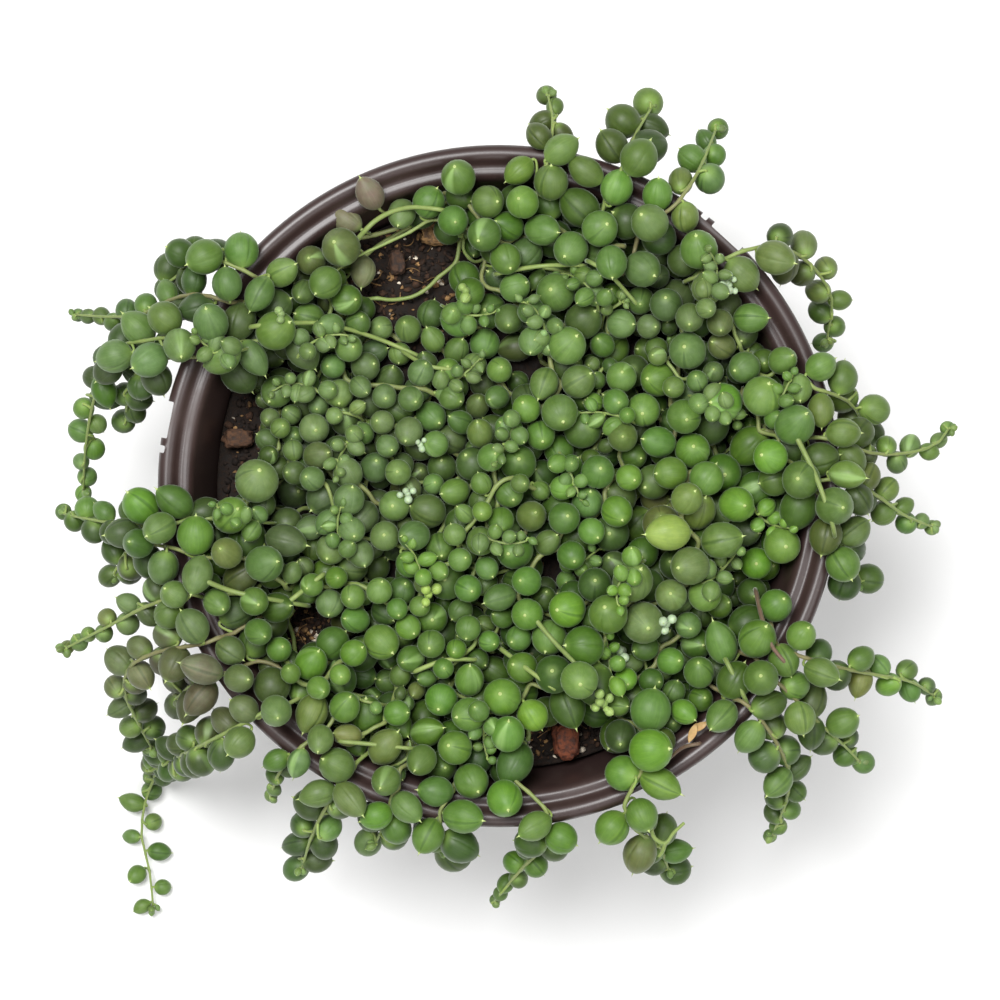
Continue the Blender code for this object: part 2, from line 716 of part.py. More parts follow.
def turned(name, outline, steps, collection, material):
    """A closed turned solid from its outline, whose ends lie on the axis."""
    mesh = bpy.data.meshes.new(name)
    points = [(r * MM, 0, z * MM) for r, z in outline]
    mesh.from_pydata(points, [(k, k + 1) for k in range(len(points) - 1)], [])
    obj = add_object(name, mesh, collection, material)
    screw = obj.modifiers.new("Turn", "SCREW")
    screw.axis = "Z"
    screw.angle = 2 * math.pi
    screw.steps = screw.render_steps = steps
    screw.use_merge_vertices = True
    screw.merge_threshold = 0.00001
    screw.use_smooth_shade = True
    return obj


def baked(obj):
    """The object with its modifiers applied to its mesh."""
    graph = bpy.context.evaluated_depsgraph_get()
    mesh = bpy.data.meshes.new_from_object(obj.evaluated_get(graph))
    obj.modifiers.clear()
    obj.data = mesh
    return obj


def cut(obj, cutter, name):
    boolean = obj.modifiers.new(name, "BOOLEAN")
    boolean.operation = "DIFFERENCE"
    boolean.object = cutter


def block_cutter(name, collection, size, location, turn):
    mesh = bpy.data.meshes.new(name)
    shape = bmesh.new()
    bmesh.ops.create_cube(shape, size=1)
    bmesh.ops.scale(shape, vec=Vector(size) * MM, verts=shape.verts)
    shape.to_mesh(mesh)
    shape.free()
    obj = as_cutter(add_object(name, mesh, collection))
    obj.location = Vector(location) * MM
    obj.rotation_euler.z = turn
    return obj


def make_pot(collection, cutters):
    material = make_material("pot_plastic", (0.045, 0.030, 0.026), 0.42)
    outline = [(0.0, FLOOR_THICK), *WALL_OUTLINE, (0.0, 0.0)]
    pot = turned("pot", outline, TURN_STEPS, collection, material)
    for k, degrees in enumerate(NOTCH_ANGLES):
        turn = math.radians(degrees)
        slots = ((NOTCH_LONG, 0.0), (NOTCH_LUG, NOTCH_LONG / 2 + NOTCH_LUG * 1.5))
        for width, offset in slots:
            place = (
                83 * math.cos(turn) - offset * math.sin(turn),
                83 * math.sin(turn) + offset * math.cos(turn),
                98,
            )
            name = f"cut_notch_{k + 1}_{'long' if offset == 0 else 'slit'}"
            cut(pot, block_cutter(name, cutters, (4.4, width, 18), place, turn), name)
    for k in range(HOLE_COUNT):
        turn = 2 * math.pi * (k + 0.5) / HOLE_COUNT
        mesh = bpy.data.meshes.new(f"cut_hole_{k + 1}")
        shape = bmesh.new()
        bmesh.ops.create_cone(shape, cap_ends=True, segments=12, radius1=HOLE_RADIUS * MM,
                              radius2=HOLE_RADIUS * MM, depth=12 * MM)
        shape.to_mesh(mesh)
        shape.free()
        cutter = as_cutter(add_object(mesh.name, mesh, cutters))
        place = (HOLE_RING * math.cos(turn), HOLE_RING * math.sin(turn), 1.5)
        cutter.location = Vector(place) * MM
        cut(pot, cutter, mesh.name)
    pot.data.shade_smooth()
    return pot


def make_soil(collection):
    material = make_material("potting_mix", (0.030, 0.020, 0.014), 0.95)
    bottom = FLOOR_THICK + WALL_GAP
    low_radius = 54.0 - WALL_GAP
    edge_radius = INNER_RADIUS - 0.2 * (101 - SOIL_LEVEL) - 2 * WALL_GAP
    rings = [edge_radius * math.sqrt(k / 7) for k in range(8)]
    outline = [(r, SOIL_LEVEL) for r in rings] + [(low_radius, bottom), (0.0, bottom)]
    soil = baked(turned("potting_mix", outline, SOIL_STEPS, collection, material))
    for vertex in soil.data.vertices:
        if vertex.co.z > (SOIL_LEVEL - 1) * MM:
            x, y = vertex.co.x / MM, vertex.co.y / MM
            vertex.co.z = (float(soil_height(x, y)) - 0.5) * MM
    soil.data.shade_smooth()
    return soil


def bark_place(solids, x, y, half, degrees):
    """The nearest place to x, y on the mix where the bark lies clear of every stem."""
    turn = math.radians(degrees)
    run = np.array([math.cos(turn), math.sin(turn), 0]) * (half[0] - half[1])
    centres, radii = solids.others("")
    best = None
    for k in range(120):
        away, angle = 0.9 * math.sqrt(k), 2.4 * k
        mx, my = x + away * math.cos(angle), y + away * math.sin(angle)
        ring = [(mx + half[0] * math.cos(t), my + half[0] * math.sin(t)) for t in range(7)]
        rest = max(float(soil_height(px, py)) for px, py in [(mx, my), *ring])
        middle = np.array([mx, my, rest + half[2] * 1.2 + 0.2])
        room = clearance(middle - run, middle + run, centres, radii) - half[1] * 1.2
        if math.hypot(mx, my) + half[0] > INNER_RADIUS - 0.2 * (101 - rest) - 1:
            room -= 9
        if best is None or room > best[0]:
            best = (room, middle)
        if room > CLEAR:
            break
    return best[1]


def make_bark(collection, solids):
    """Bark on the mix, placed before the solid leaves are chosen, so that they stay clear of it."""
    material = make_material("bark", (0.12, 0.05, 0.025), 0.8)
    for name, x, y, half, degrees in BARK:
        shape = bmesh.new()
        bmesh.ops.create_icosphere(shape, subdivisions=2, radius=1)
        for vertex in shape.verts:
            c = vertex.co
            c *= 1 + 0.12 * math.sin(5 * c.x + 3 * c.y) + 0.08 * math.sin(7 * c.z + 4 * c.y)
        bmesh.ops.scale(shape, vec=Vector(half) * MM, verts=shape.verts)
        mesh = bpy.data.meshes.new(name)
        shape.to_mesh(mesh)
        shape.free()
        mesh.shade_smooth()
        obj = add_object(name, mesh, collection, material)
        middle = bark_place(solids, x, y, half, degrees)
        turn = math.radians(degrees)
        obj.location = Vector(middle) * MM
        obj.rotation_euler.z = turn
        run = np.array([math.cos(turn), math.sin(turn), 0]) * (half[0] - half[1])
        solids.add(along(middle - run, middle + run), half[1] * 1.2, name)


def stem_tube(name, line, helpers):
    """A thin four-sided tube through the points, as a closed mesh."""
    curve = bpy.data.curves.new(name, "CURVE")
    curve.dimensions = "3D"
    curve.bevel_depth = SOLID_STEM_RADIUS * MM
    curve.bevel_resolution = 0
    curve.use_fill_caps = True
    spline = curve.splines.new("POLY")
    spline.points.add(len(line) - 1)
    for point, place in zip(spline.points, line):
        point.co = (*(place * MM), 1)
    source = add_object(name + "_line", curve, helpers)
    graph = bpy.context.evaluated_depsgraph_get()
    mesh = bpy.data.meshes.new_from_object(source.evaluated_get(graph))
    bpy.data.objects.remove(source)
    shape = bmesh.new()
    shape.from_mesh(mesh)
    bmesh.ops.remove_doubles(shape, verts=shape.verts, dist=0.01 * MM)
    bmesh.ops.recalc_face_normals(shape, faces=shape.faces)
    shape.to_mesh(mesh)
    shape.free()
    return mesh


def leaf_mesh(name, centre, size, foot):
    """A plump leaf drawn out to a point where its stalk meets the stem."""
    shape = bmesh.new()
    bmesh.ops.create_icosphere(shape, subdivisions=1, radius=size * MM)
    lowest = min(shape.verts, key=lambda v: v.co.z)
    reach = np.linalg.norm(foot - centre) + 0.3
    lowest.co = Vector((0, 0, -reach * MM))
    aim = Vector(foot - centre).to_track_quat("-Z", "Y").to_matrix().to_4x4()
    shape.transform(Matrix.Translation(Vector(centre) * MM) @ aim)
    mesh = bpy.data.meshes.new(name)
    shape.to_mesh(mesh)
    shape.free()
    return mesh


def make_vine(name, line, leaves, collection, helpers, material):
    """One stem with its leaves, joined into one solid."""
    vine = add_object(name, stem_tube(name, line, helpers), collection, material)
    if leaves:
        group = bpy.data.collections.new(name + "_leaves")
        helpers.children.link(group)
        for k, (centre, size, foot) in enumerate(leaves):
            leaf_name = f"{name}_leaf_{k + 1}"
            as_cutter(add_object(leaf_name, leaf_mesh(leaf_name, centre, size, foot), group))
        join = vine.modifiers.new("Join leaves", "BOOLEAN")
        join.operation = "UNION"
        join.operand_type = "COLLECTION"
        join.collection = group
        baked(vine)
        for helper in list(group.objects):
            bpy.data.objects.remove(helper)
        bpy.data.collections.remove(group)
    vine.data.shade_smooth()
    vine.data.set_sharp_from_angle(angle=math.radians(50))
    return vine


def main():
    clear_scene()
    collection = new_collection("potted_string_of_pearls")
    helpers = new_collection("cutters")
    make_pot(collection, helpers)
    make_soil(collection)
    plant = grow()
    thinned, solids = thin_stems(plant)
    make_bark(collection, solids)
    chosen = choose_leaves(plant, thinned, solids)
    green = make_material("leaf_green", (0.13, 0.30, 0.07), 0.38)
    for name, line in thinned.items():
        make_vine(name, line, chosen[name], collection, helpers, green)


main()
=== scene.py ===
import math

import bmesh
import bpy
import numpy as np
from mathutils import Matrix, Vector, noise


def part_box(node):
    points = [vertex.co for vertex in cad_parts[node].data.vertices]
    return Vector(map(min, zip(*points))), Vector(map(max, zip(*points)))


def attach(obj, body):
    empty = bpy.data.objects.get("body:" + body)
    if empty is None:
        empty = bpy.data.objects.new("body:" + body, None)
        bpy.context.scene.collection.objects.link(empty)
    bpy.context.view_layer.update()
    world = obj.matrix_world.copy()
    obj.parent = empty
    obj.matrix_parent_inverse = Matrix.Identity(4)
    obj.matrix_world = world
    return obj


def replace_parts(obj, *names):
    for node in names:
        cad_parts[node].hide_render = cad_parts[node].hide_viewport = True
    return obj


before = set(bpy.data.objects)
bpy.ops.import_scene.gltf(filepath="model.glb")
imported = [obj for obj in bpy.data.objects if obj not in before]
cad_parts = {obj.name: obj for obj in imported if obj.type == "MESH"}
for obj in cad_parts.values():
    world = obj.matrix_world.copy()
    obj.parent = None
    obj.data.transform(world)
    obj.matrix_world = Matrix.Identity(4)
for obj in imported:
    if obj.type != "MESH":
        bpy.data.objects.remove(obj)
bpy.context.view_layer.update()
mm = 0.001

# Pot, in millimetres
rimTop = 105.0
innerRadius = 74.0  # inside of the wall just under the rim
notchAngles = (168.7, 295.4, 47.6)  # where a wire hanger would clip on, degrees
notchLong = 9.0
notchLug = 1.8
holeCount = 6
holeRadius = 4.0
holeRing = 36.0

# Potting mix, in millimetres
soilLevel = 86.0  # at the wall
soilDome = 7.0  # how much higher it is in the middle

# Plant, in millimetres
stemRoom = 0.8  # radius that a stem keeps free around its line
petioleLong = 0.9  # stalk between a stem and its leaf
leafPitch = 4.7  # between leaves along a stem
freeGap = 0.3  # left between any two pieces
packing = 0.5  # share of the carpet's volume that is leaf
lowerCreepers = 13
upperCreepers = 13
creeperLeaves = 31
creeperLimit = 70.0  # furthest a creeping stem goes from the axis
leafFull = 3.75  # radius of a full-grown leaf on a creeping stem
settleRounds = 200
quietRounds = 80  # last rounds, with no more sinking
growthSeed = 41

# Square grid that remembers how high the leaves are already piled
cellSize = 2.0
cellCount = 90

# Places where the mix or the wall shows: middle x, y and half widths
openPlaces = [
    (-25, 54, 15, 13), (-69, 12, 13, 19), (17, -65, 14, 11), (-47, -34, 8, 8), (-53, -59, 9, 6),
    (55, 61, 12, 6),
]

# Dips in the carpet of leaves, where only the lowest leaves lie, spread evenly by the golden angle
dipCount = 16
dipSpread = 64.0  # radius that the dips are spread over
dipRadius = 5.8
dipTurn = 0.45  # of the first dip, in radians
goldenAngle = math.pi * (3 - math.sqrt(5))
dips = [(dipSpread * math.sqrt((k + 0.5) / dipCount) * math.cos(dipTurn + k * goldenAngle),
         dipSpread * math.sqrt((k + 0.5) / dipCount) * math.sin(dipTurn + k * goldenAngle),
         dipRadius, dipRadius) for k in range(dipCount)]
dipLevel = 8.0  # height over the mix under which a leaf may lie in a dip
leafless = 0.4  # bareness above which the stems carry no leaves

# Outline of the pot from the inner corner of its floor, over the rim, to the edge of its base
wallOutline = [
    (54.0, 3.0), (innerRadius, 101.0), (74.6, 102.8), (75.6, 103.2), (76.6, 102.6), (77.6, 103.0),
    (78.6, 104.4), (80.2, rimTop), (81.8, 104.3), (82.5, 102.5), (81.2, 91.0), (79.9, 91.0),
    (79.4, 99.5), (76.4, 99.5), (55.5, 0.0),
]

# Stems that pass over the rim: route from the pot's axis with heights from the rim, then the
# radius of the first and the last leaf
strandRoutes = {
    "northwest": ([(-50, 44, 3), (-58, 50, 5), (-67, 54, 4), (-74, 55, -3), (-79, 51, -14),
        (-81, 46, -25)], 4.3, 3.0),
    "west_a": ([(-52, 38, 3), (-62, 43, 6), (-72, 46, 3), (-80, 45, -5), (-88, 42, -14), (-97, 42, -24),
        (-106, 43, -33)], 4.2, 1.9),
    "west_b": ([(-46, 30, 3), (-60, 35, 6), (-73, 36, 6), (-85, 35, 1), (-94, 33, -9), (-100, 23, -23),
        (-104, 11, -36), (-106, -1, -46)], 4.5, 2.2),
    "west_c": ([(-56, 28, 3), (-66, 30, 6), (-77, 31, 4), (-86, 29, -4), (-91, 24, -16),
        (-93, 17, -28)], 4.4, 3.0),
    "left_a": ([(-52, -4, 2), (-64, -7, 6), (-76, -9, 6), (-86, -9, 0), (-94, -9, -9), (-102, -8, -18),
        (-108, -7, -26)], 4.8, 2.4),
    "left_b": ([(-54, -15, 2), (-66, -16, 6), (-77, -15, 5), (-86, -14, -2), (-92, -17, -12),
        (-95, -22, -22)], 4.4, 3.0),
    "lowleft_a": ([(-52, -24, 2), (-64, -24, 6), (-75, -26, 5), (-85, -29, -1), (-93, -33, -9),
        (-101, -37, -17), (-107, -40, -23)], 4.2, 2.0),
    "lowleft_b": ([(-50, -32, 2), (-61, -35, 6), (-72, -38, 4), (-82, -40, -3), (-90, -44, -12),
        (-93, -51, -24), (-91, -60, -38), (-89, -67, -50)], 4.0, 3.0),
    "lowleft_c": ([(-46, -38, 2), (-56, -42, 5), (-66, -45, 3), (-74, -48, -4), (-79, -52, -14)], 4.5,
        3.6),
    "long": ([(-36, -44, 1), (-46, -49, 4), (-56, -54, 5), (-65, -59, 2), (-74, -64, -10),
        (-81, -68, -31), (-86, -71, -55), (-90, -74, -78), (-93, -79, -94), (-96, -86, -100),
        (-97, -95, -101), (-95, -104, -101.5), (-94, -114, -102)], 4.1, 2.3),
    "south_a": ([(-34, -50, 2), (-41, -57, 5), (-48, -63, 4), (-53, -69, -3), (-56, -76, -13)], 4.0,
        1.8),
    "south_b": ([(-28, -54, 2), (-33, -62, 5), (-37, -70, 4), (-42, -78, -3), (-46, -86, -14),
        (-49, -95, -27)], 4.2, 3.4),
    "south_c": ([(-18, -56, 2), (-21, -64, 5), (-25, -72, 5), (-27, -80, -2), (-30, -87, -12)], 4.2,
        3.6),
    "south_d": ([(-8, -58, 2), (-11, -66, 5), (-14, -74, 5), (-14, -82, 0), (-13, -89, -10)], 4.6, 4.6),
    "south_e": ([(4, -56, 0), (8, -64, 3), (10, -72, 5), (12, -80, 3), (11, -87, -5), (5, -95, -18),
        (-1, -104, -32)], 4.6, 1.6),
    "south_f": ([(28, -52, 2), (33, -60, 5), (33, -69, 6), (30, -76, 5), (33, -83, -1), (39, -88, -11),
        (42, -95, -24)], 4.9, 3.6),
    "southeast_a": ([(46, -42, 2), (54, -48, 5), (61, -54, 5), (67, -62, -1), (71, -71, -12),
        (71, -80, -26), (69, -88, -38)], 4.5, 2.0),
    "southeast_b": ([(54, -36, 2), (62, -43, 5), (70, -50, 3), (77, -57, -4), (84, -63, -13),
        (89, -68, -20)], 4.3, 2.8),
    "east_a": ([(54, -30, 2), (63, -37, 6), (73, -41, 5), (83, -44, -1), (92, -46, -8), (101, -48, -16),
        (108, -52, -25)], 4.3, 2.3),
    "east_b": ([(56, 26, 3), (65, 18, 6), (72, 8, 7), (78, -4, 6), (83, -14, 1), (88, -23, -8)], 4.8,
        4.2),
    "east_c": ([(62, 4, 3), (72, 3, 6), (82, 1, 4), (91, -2, -4), (99, -7, -13), (107, -10, -22)], 4.5,
        2.0),
    "east_d": ([(60, 16, 3), (70, 13, 6), (80, 11, 4), (90, 8, -3), (99, 8, -10), (107, 10, -16),
        (111, 14, -20)], 4.2, 2.0),
    "east_e": ([(56, 30, 3), (66, 26, 6), (77, 23, 5), (85, 20, -3), (90, 14, -13)], 4.2, 3.6),
    "northeast_a": ([(42, 48, 3), (51, 53, 6), (61, 57, 5), (70, 57, -2), (77, 53, -10), (82, 46, -18),
        (82, 37, -29)], 4.3, 2.7),
    "north_a": ([(26, 52, 3), (34, 60, 6), (42, 67, 6), (47, 74, 3), (50, 80, -4), (53, 87, -13)], 4.5,
        2.6),
    "north_b": ([(18, 54, 3), (23, 62, 6), (27, 70, 6), (30, 78, 4), (33, 85, -2), (37, 92, -10)], 4.5,
        3.8),
    "north_c": ([(4, 56, 3), (7, 64, 6), (10, 72, 6), (12, 80, 4), (13, 88, -2), (12, 95, -9)], 4.3,
        2.4),
    "inner_arc": ([(4, 46, 2), (-6, 53, 1), (-11, 61, 1), (-17, 67, 2), (-24, 68.5, 3), (-32, 65, 4),
        (-39, 59, 4)], 3.8, 4.5),
}

def soilHeight(x, y):
    rho = np.hypot(x, y)
    dome = soilDome * (1 - (rho / innerRadius) ** 2)
    lumps = 0.8 * np.sin(x / 7 + 1) * np.cos(y / 8) + 0.5 * np.sin(x / 3.6 - y / 4.4)
    lowSide = 3.0 / (1 + np.exp((x + 45) / 6))
    return soilLevel + dome + lumps - lowSide


class Carpet:

    def __init__(self):
        axis = (np.arange(cellCount) - cellCount / 2 + 0.5) * cellSize
        self.x, self.y = np.meshgrid(axis, axis, indexing="ij")
        self.soil = soilHeight(self.x, self.y)
        self.leaves = np.zeros_like(self.soil)

    def cell(self, x, y):
        return tuple(min(cellCount - 1, max(0, int(v / cellSize + cellCount / 2))) for v in (x, y))

    def height(self, x, y):
        cell = self.cell(x, y)
        return float(self.soil[cell] + self.leaves[cell])

    def cost(self, x, y):
        cell = self.cell(x, y)
        return float(0.2 * self.soil[cell] + self.leaves[cell])

    def cover(self, x, y, radius):
        spread = 1.1 * radius
        share = np.exp(-((self.x - x) ** 2 + (self.y - y) ** 2) / (2 * spread ** 2))
        volume = 4 / 3 * math.pi * radius ** 3 / packing
        self.leaves += volume / (2 * math.pi * spread ** 2) * share


def bareness(x, y, places=openPlaces):
    return sum(max(0.0, 1.25 - math.hypot((x - cx) / wx, (y - cy) / wy)) for cx, cy, wx, wy in places)


def crawl(carpet, start, heading, limit, rng):
    plan = [np.array(start, float)]
    for _ in range(creeperLeaves):
        best = None
        for turn in (-0.6, -0.25, 0.0, 0.25, 0.6):
            angle = heading + turn
            x = plan[-1][0] + leafPitch * math.cos(angle)
            y = plan[-1][1] + leafPitch * math.sin(angle)
            over = max(0.0, math.hypot(x, y) - limit)
            cost = carpet.cost(x, y) + 3 * over + 60 * bareness(x, y)
            cost += 9 * bareness(x, y, dips) + 1.6 * abs(turn) + rng.uniform(0, 1.6)
            if best is None or cost < best[0]:
                best = (cost, angle, x, y)
        heading = best[1]
        plan.append(np.array(best[2:], float))
    return plan


def halved(points):
    out = [points[0]]
    for a, b in zip(points, points[1:]):
        out += [(a + b) / 2, b]
    return out


def layCreeper(carpet, start, full, limit, rng):
    plan = crawl(carpet, start, rng.uniform(0, 2 * math.pi), limit, rng)
    leaves = []
    for k, here in enumerate(plan[1:], 1):
        ahead = here - plan[k - 1]
        along = math.atan2(ahead[1], ahead[0])
        side = 1 if k % 2 else -1
        young = 1 - 0.52 * max(0.0, 2 * k / creeperLeaves - 1) ** 1.3
        radius = full * young * rng.uniform(0.86, 1.14)
        best = None
        for swing in (1.25, 1.7, 0.75, -1.25):
            angle = along + side * swing
            x = here[0] + (radius + petioleLong) * math.cos(angle)
            y = here[1] + (radius + petioleLong) * math.sin(angle)
            over = max(0.0, math.hypot(x, y) - limit - 2)
            cost = carpet.cost(x, y) + 60 * bareness(x, y) + 9 * bareness(x, y, dips)
            cost += 5 * over + rng.uniform(0, 0.8)
            if best is None or cost < best[0]:
                best = (cost, x, y)
        point = np.array([*best[1:], carpet.height(*best[1:]) + radius])
        carpet.cover(point[0], point[1], radius)
        leaves.append((point, radius, 2 * k))
    stem = []
    for k, here in enumerate(plan):
        near = [p[2] for p, _, j in leaves if abs(j / 2 - k) < 2]
        stem.append(np.array([here[0], here[1], sum(near) / len(near)]))
    stem = halved(stem)
    return stem, leaves, [0.0] * len(stem)


def evenRoute(points):
    pts = [np.array(p, float) for p in points]
    pts = [2 * pts[0] - pts[1], *pts, 2 * pts[-1] - pts[-2]]
    fine = []
    for a, b, c, d in zip(pts, pts[1:], pts[2:], pts[3:]):
        for t in np.linspace(0, 1, 24, endpoint=False):
            bow = (2 * a - 5 * b + 4 * c - d) * t + (3 * b - a - 3 * c + d) * t * t
            fine.append(b + 0.5 * t * (c - a + bow))
    fine = np.array([*fine, pts[-2]])
    steps = np.linalg.norm(np.diff(fine, axis=0), axis=1)
    run = np.concatenate([[0], np.cumsum(steps)])
    at = np.linspace(0, run[-1], max(3, round(run[-1] / leafPitch)) + 1)
    return [np.array([np.interp(s, run, fine[:, i]) for i in range(3)]) for s in at]


def hangStrand(carpet, route, first, last, rng):
    stem = evenRoute([(x, y, z + rimTop) for x, y, z in route])
    for p in stem:
        inside = min(1.0, max(0.0, (80 - math.hypot(p[0], p[1])) / 8))
        p[2] += inside * max(0.0, carpet.height(p[0], p[1]) + 1 - p[2])
    leaves = []
    for k in range(1, len(stem)):
        share = (k / (len(stem) - 1)) ** 1.5
        radius = (first + (last - first) * share) * rng.uniform(0.88, 1.12)
        ahead = stem[k] - stem[k - 1]
        side = np.cross(ahead, (0, 0, 1.0))
        side = side / np.linalg.norm(side)
        up = np.cross(side, ahead / np.linalg.norm(ahead))
        turn = (0.5 if k % 2 else -0.5) * math.pi + rng.uniform(-0.7, 0.7)
        point = stem[k] + (radius + petioleLong) * (math.sin(turn) * side + math.cos(turn) * up)
        point[2] = max(point[2], radius + freeGap)
        if math.hypot(point[0], point[1]) < innerRadius:
            carpet.cover(point[0], point[1], radius)
        leaves.append((point, radius, 2 * k))
    stem = halved(stem)
    hold = [min(1.0, max(0.0, (math.hypot(p[0], p[1]) - 76) / 6)) for p in stem]
    return stem, leaves, hold


def nearPairs(points, radii, vine, order, leaf, margin):
    first, second = [], []
    byX = np.argsort(points[:, 0], kind="stable")
    x, p, r = points[byX, 0], points[byX], radii[byX]
    widest = 2 * radii.max() + margin
    for a in range(0, len(p), 200):
        end = min(a + 200, len(p))
        stop = int(np.searchsorted(x, x[end - 1] + widest))
        apart = ((p[a:end, None, :] - p[None, a:stop, :]) ** 2).sum(2)
        reach = r[a:end, None] + r[None, a:stop] + margin
        i, j = np.nonzero(apart < reach * reach)
        keep = i < j
        first.append(byX[i[keep] + a])
        second.append(byX[j[keep] + a])
    i, j = np.concatenate(first), np.concatenate(second)
    own = (vine[i] == vine[j]) & (np.abs(order[i] - order[j]) <= 4) & ~(leaf[i] & leaf[j])
    return i[~own], j[~own]


def push(points, i, j, shift, free):
    line = points[i] - points[j]
    length = np.maximum(np.linalg.norm(line, axis=1), 1e-6)
    wi, wj = free[i], free[j]
    amount = shift(length) / length / np.maximum(wi + wj, 1e-6)
    moves = line * amount[:, None]
    n = len(points)
    count = np.bincount(i, amount != 0, n) + np.bincount(j, amount != 0, n)
    for axis in range(3):
        total = np.bincount(i, moves[:, axis] * wi, n) - np.bincount(j, moves[:, axis] * wj, n)
        points[:, axis] += 1.3 * total / np.maximum(count, 1) ** 0.75


def keepOffPot(points, radii, creeps, inner):
    rho = np.hypot(points[:, 0], points[:, 1])
    near = np.nonzero(rho > 52)[0]
    at, z = rho[near], points[near, 2]
    best = np.full(len(near), 99.0)
    outR, outZ = np.zeros(len(near)), np.zeros(len(near))
    for (r0, z0), (r1, z1) in zip(wallOutline, wallOutline[1:]):
        dr, dz = r1 - r0, z1 - z0
        t = np.clip(((at - r0) * dr + (z - z0) * dz) / (dr * dr + dz * dz), 0, 1)
        cr, cz = at - r0 - t * dr, z - z0 - t * dz
        away = np.hypot(cr, cz)
        nearer = away < best
        best[nearer], outR[nearer], outZ[nearer] = away[nearer], cr[nearer], cz[nearer]
    scale = np.maximum(0, radii[near] + freeGap - best) / np.maximum(best, 1e-6)
    grown = (at + outR * scale) / at
    points[near, 0] *= grown
    points[near, 1] *= grown
    points[near, 2] += outZ * scale
    rho = np.hypot(points[:, 0], points[:, 1])
    wall = innerRadius - 0.2 * np.maximum(0, 101 - points[:, 2]) - radii - freeGap
    wall += np.clip(points[:, 2] - 101, 0, radii + 2)
    trapped = (rho > wall) & (creeps | inner & (points[:, 2] < 101))
    shrink = np.where(trapped, wall / np.maximum(rho, 1e-6), 1)
    points[:, 0] *= shrink
    points[:, 1] *= shrink
    low = soilHeight(points[:, 0], points[:, 1]) + radii + freeGap
    points[:, 2] = np.where(rho < innerRadius, np.maximum(points[:, 2], low), points[:, 2])
    points[:, 2] = np.maximum(points[:, 2], radii + freeGap)


def keepPlacesBare(points, hold):
    high = points[:, 2] > soilHeight(points[:, 0], points[:, 1]) + dipLevel
    for number, (cx, cy, wx, wy) in enumerate(openPlaces + dips):
        dx, dy = (points[:, 0] - cx) / (wx + 1), (points[:, 1] - cy) / (wy + 1)
        off = np.maximum(np.hypot(dx, dy), 1e-6)
        moved = (off < 1) & (hold < 0.05) & (high | (number < len(openPlaces)))
        out = np.where(moved, np.minimum(0.5, 8 * (1 - off)), 0)
        moves = points[:, :2] * 0
        moves[:, 0], moves[:, 1] = out * dx / off, out * dy / off
        rho = np.maximum(np.hypot(points[:, 0], points[:, 1]), 1e-6)
        outward = np.maximum(0, (moves * points[:, :2]).sum(1) / rho) * np.clip((rho - 50) / 12, 0, 1)
        points[:, :2] += moves - points[:, :2] * (outward / rho)[:, None]


def settle(points, radii, vine, order, leaf, hold, creeps, links):
    free = 1 - 0.93 * hold
    home = points.copy()
    inner = np.hypot(home[:, 0], home[:, 1]) < 76
    chain, bend, petiole = links
    chainLength = np.minimum(
        np.linalg.norm(points[chain[:, 0]] - points[chain[:, 1]], axis=1), leafPitch / 2 * 1.05
    )
    bendLength = 0.9 * np.linalg.norm(points[bend[:, 0]] - points[bend[:, 1]], axis=1)
    petioleLength = radii[petiole[:, 1]] + petioleLong
    sink = np.where(hold > 0, 0.02, 0.14)
    pull = 0.25 * hold[:, None]
    for turn in range(settleRounds):
        if turn % 10 == 0:
            i, j = nearPairs(points, radii, vine, order, leaf, 2.0)
            reach = radii[i] + radii[j] + freeGap
        resting = turn >= settleRounds - quietRounds
        if not resting:
            points[:, 2] -= sink
        if turn < settleRounds - quietRounds / 3:
            keepPlacesBare(points, hold)
        push(points, chain[:, 0], chain[:, 1], lambda d: chainLength - d, free)
        push(points, bend[:, 0], bend[:, 1], lambda d: np.maximum(0, bendLength - d) * 0.4, free)
        push(points, petiole[:, 1], petiole[:, 0], lambda d: np.clip(petioleLength - d, -0.6, 0.6), free)
        points += (home - points) * pull
        for _ in range(2 if resting else 1):
            push(points, i, j, lambda d: np.maximum(0, reach - d), free)
            push(points, chain[:, 0], chain[:, 1], lambda d: np.minimum(0, chainLength * 1.15 - d), free)
        keepOffPot(points, radii, creeps, inner)
    return points


def planPlant():
    carpet = Carpet()
    plans = {}
    rng = np.random.default_rng(growthSeed)

    def creep(first, total, limit):
        for i in range(total):
            turn = math.radians(137.5) * (i + first)
            rho = 66 * math.sqrt((i + 0.5) / total)
            start = np.array([rho * math.cos(turn), rho * math.sin(turn)])
            if bareness(*start) > 0:
                start = start * 0.7
            full = leafFull + 0.55 * math.tanh((start[0] + 8) / 25) + rng.uniform(-0.45, 0.35)
            name = f"creeper_{first + i + 1:02d}"
            plans[name] = layCreeper(carpet, start, full, limit, rng)

    creep(0, lowerCreepers, creeperLimit + 1)
    for name, (route, first, last) in strandRoutes.items():
        plans["strand_" + name] = hangStrand(carpet, route, first, last, rng)
    creep(lowerCreepers, upperCreepers, creeperLimit - 1)
    return plans


def inTheWay(centre):
    x, y, z = centre
    high = z > soilHeight(x, y) + dipLevel
    return bareness(x, y) > leafless or (high and bareness(x, y, dips) > leafless)


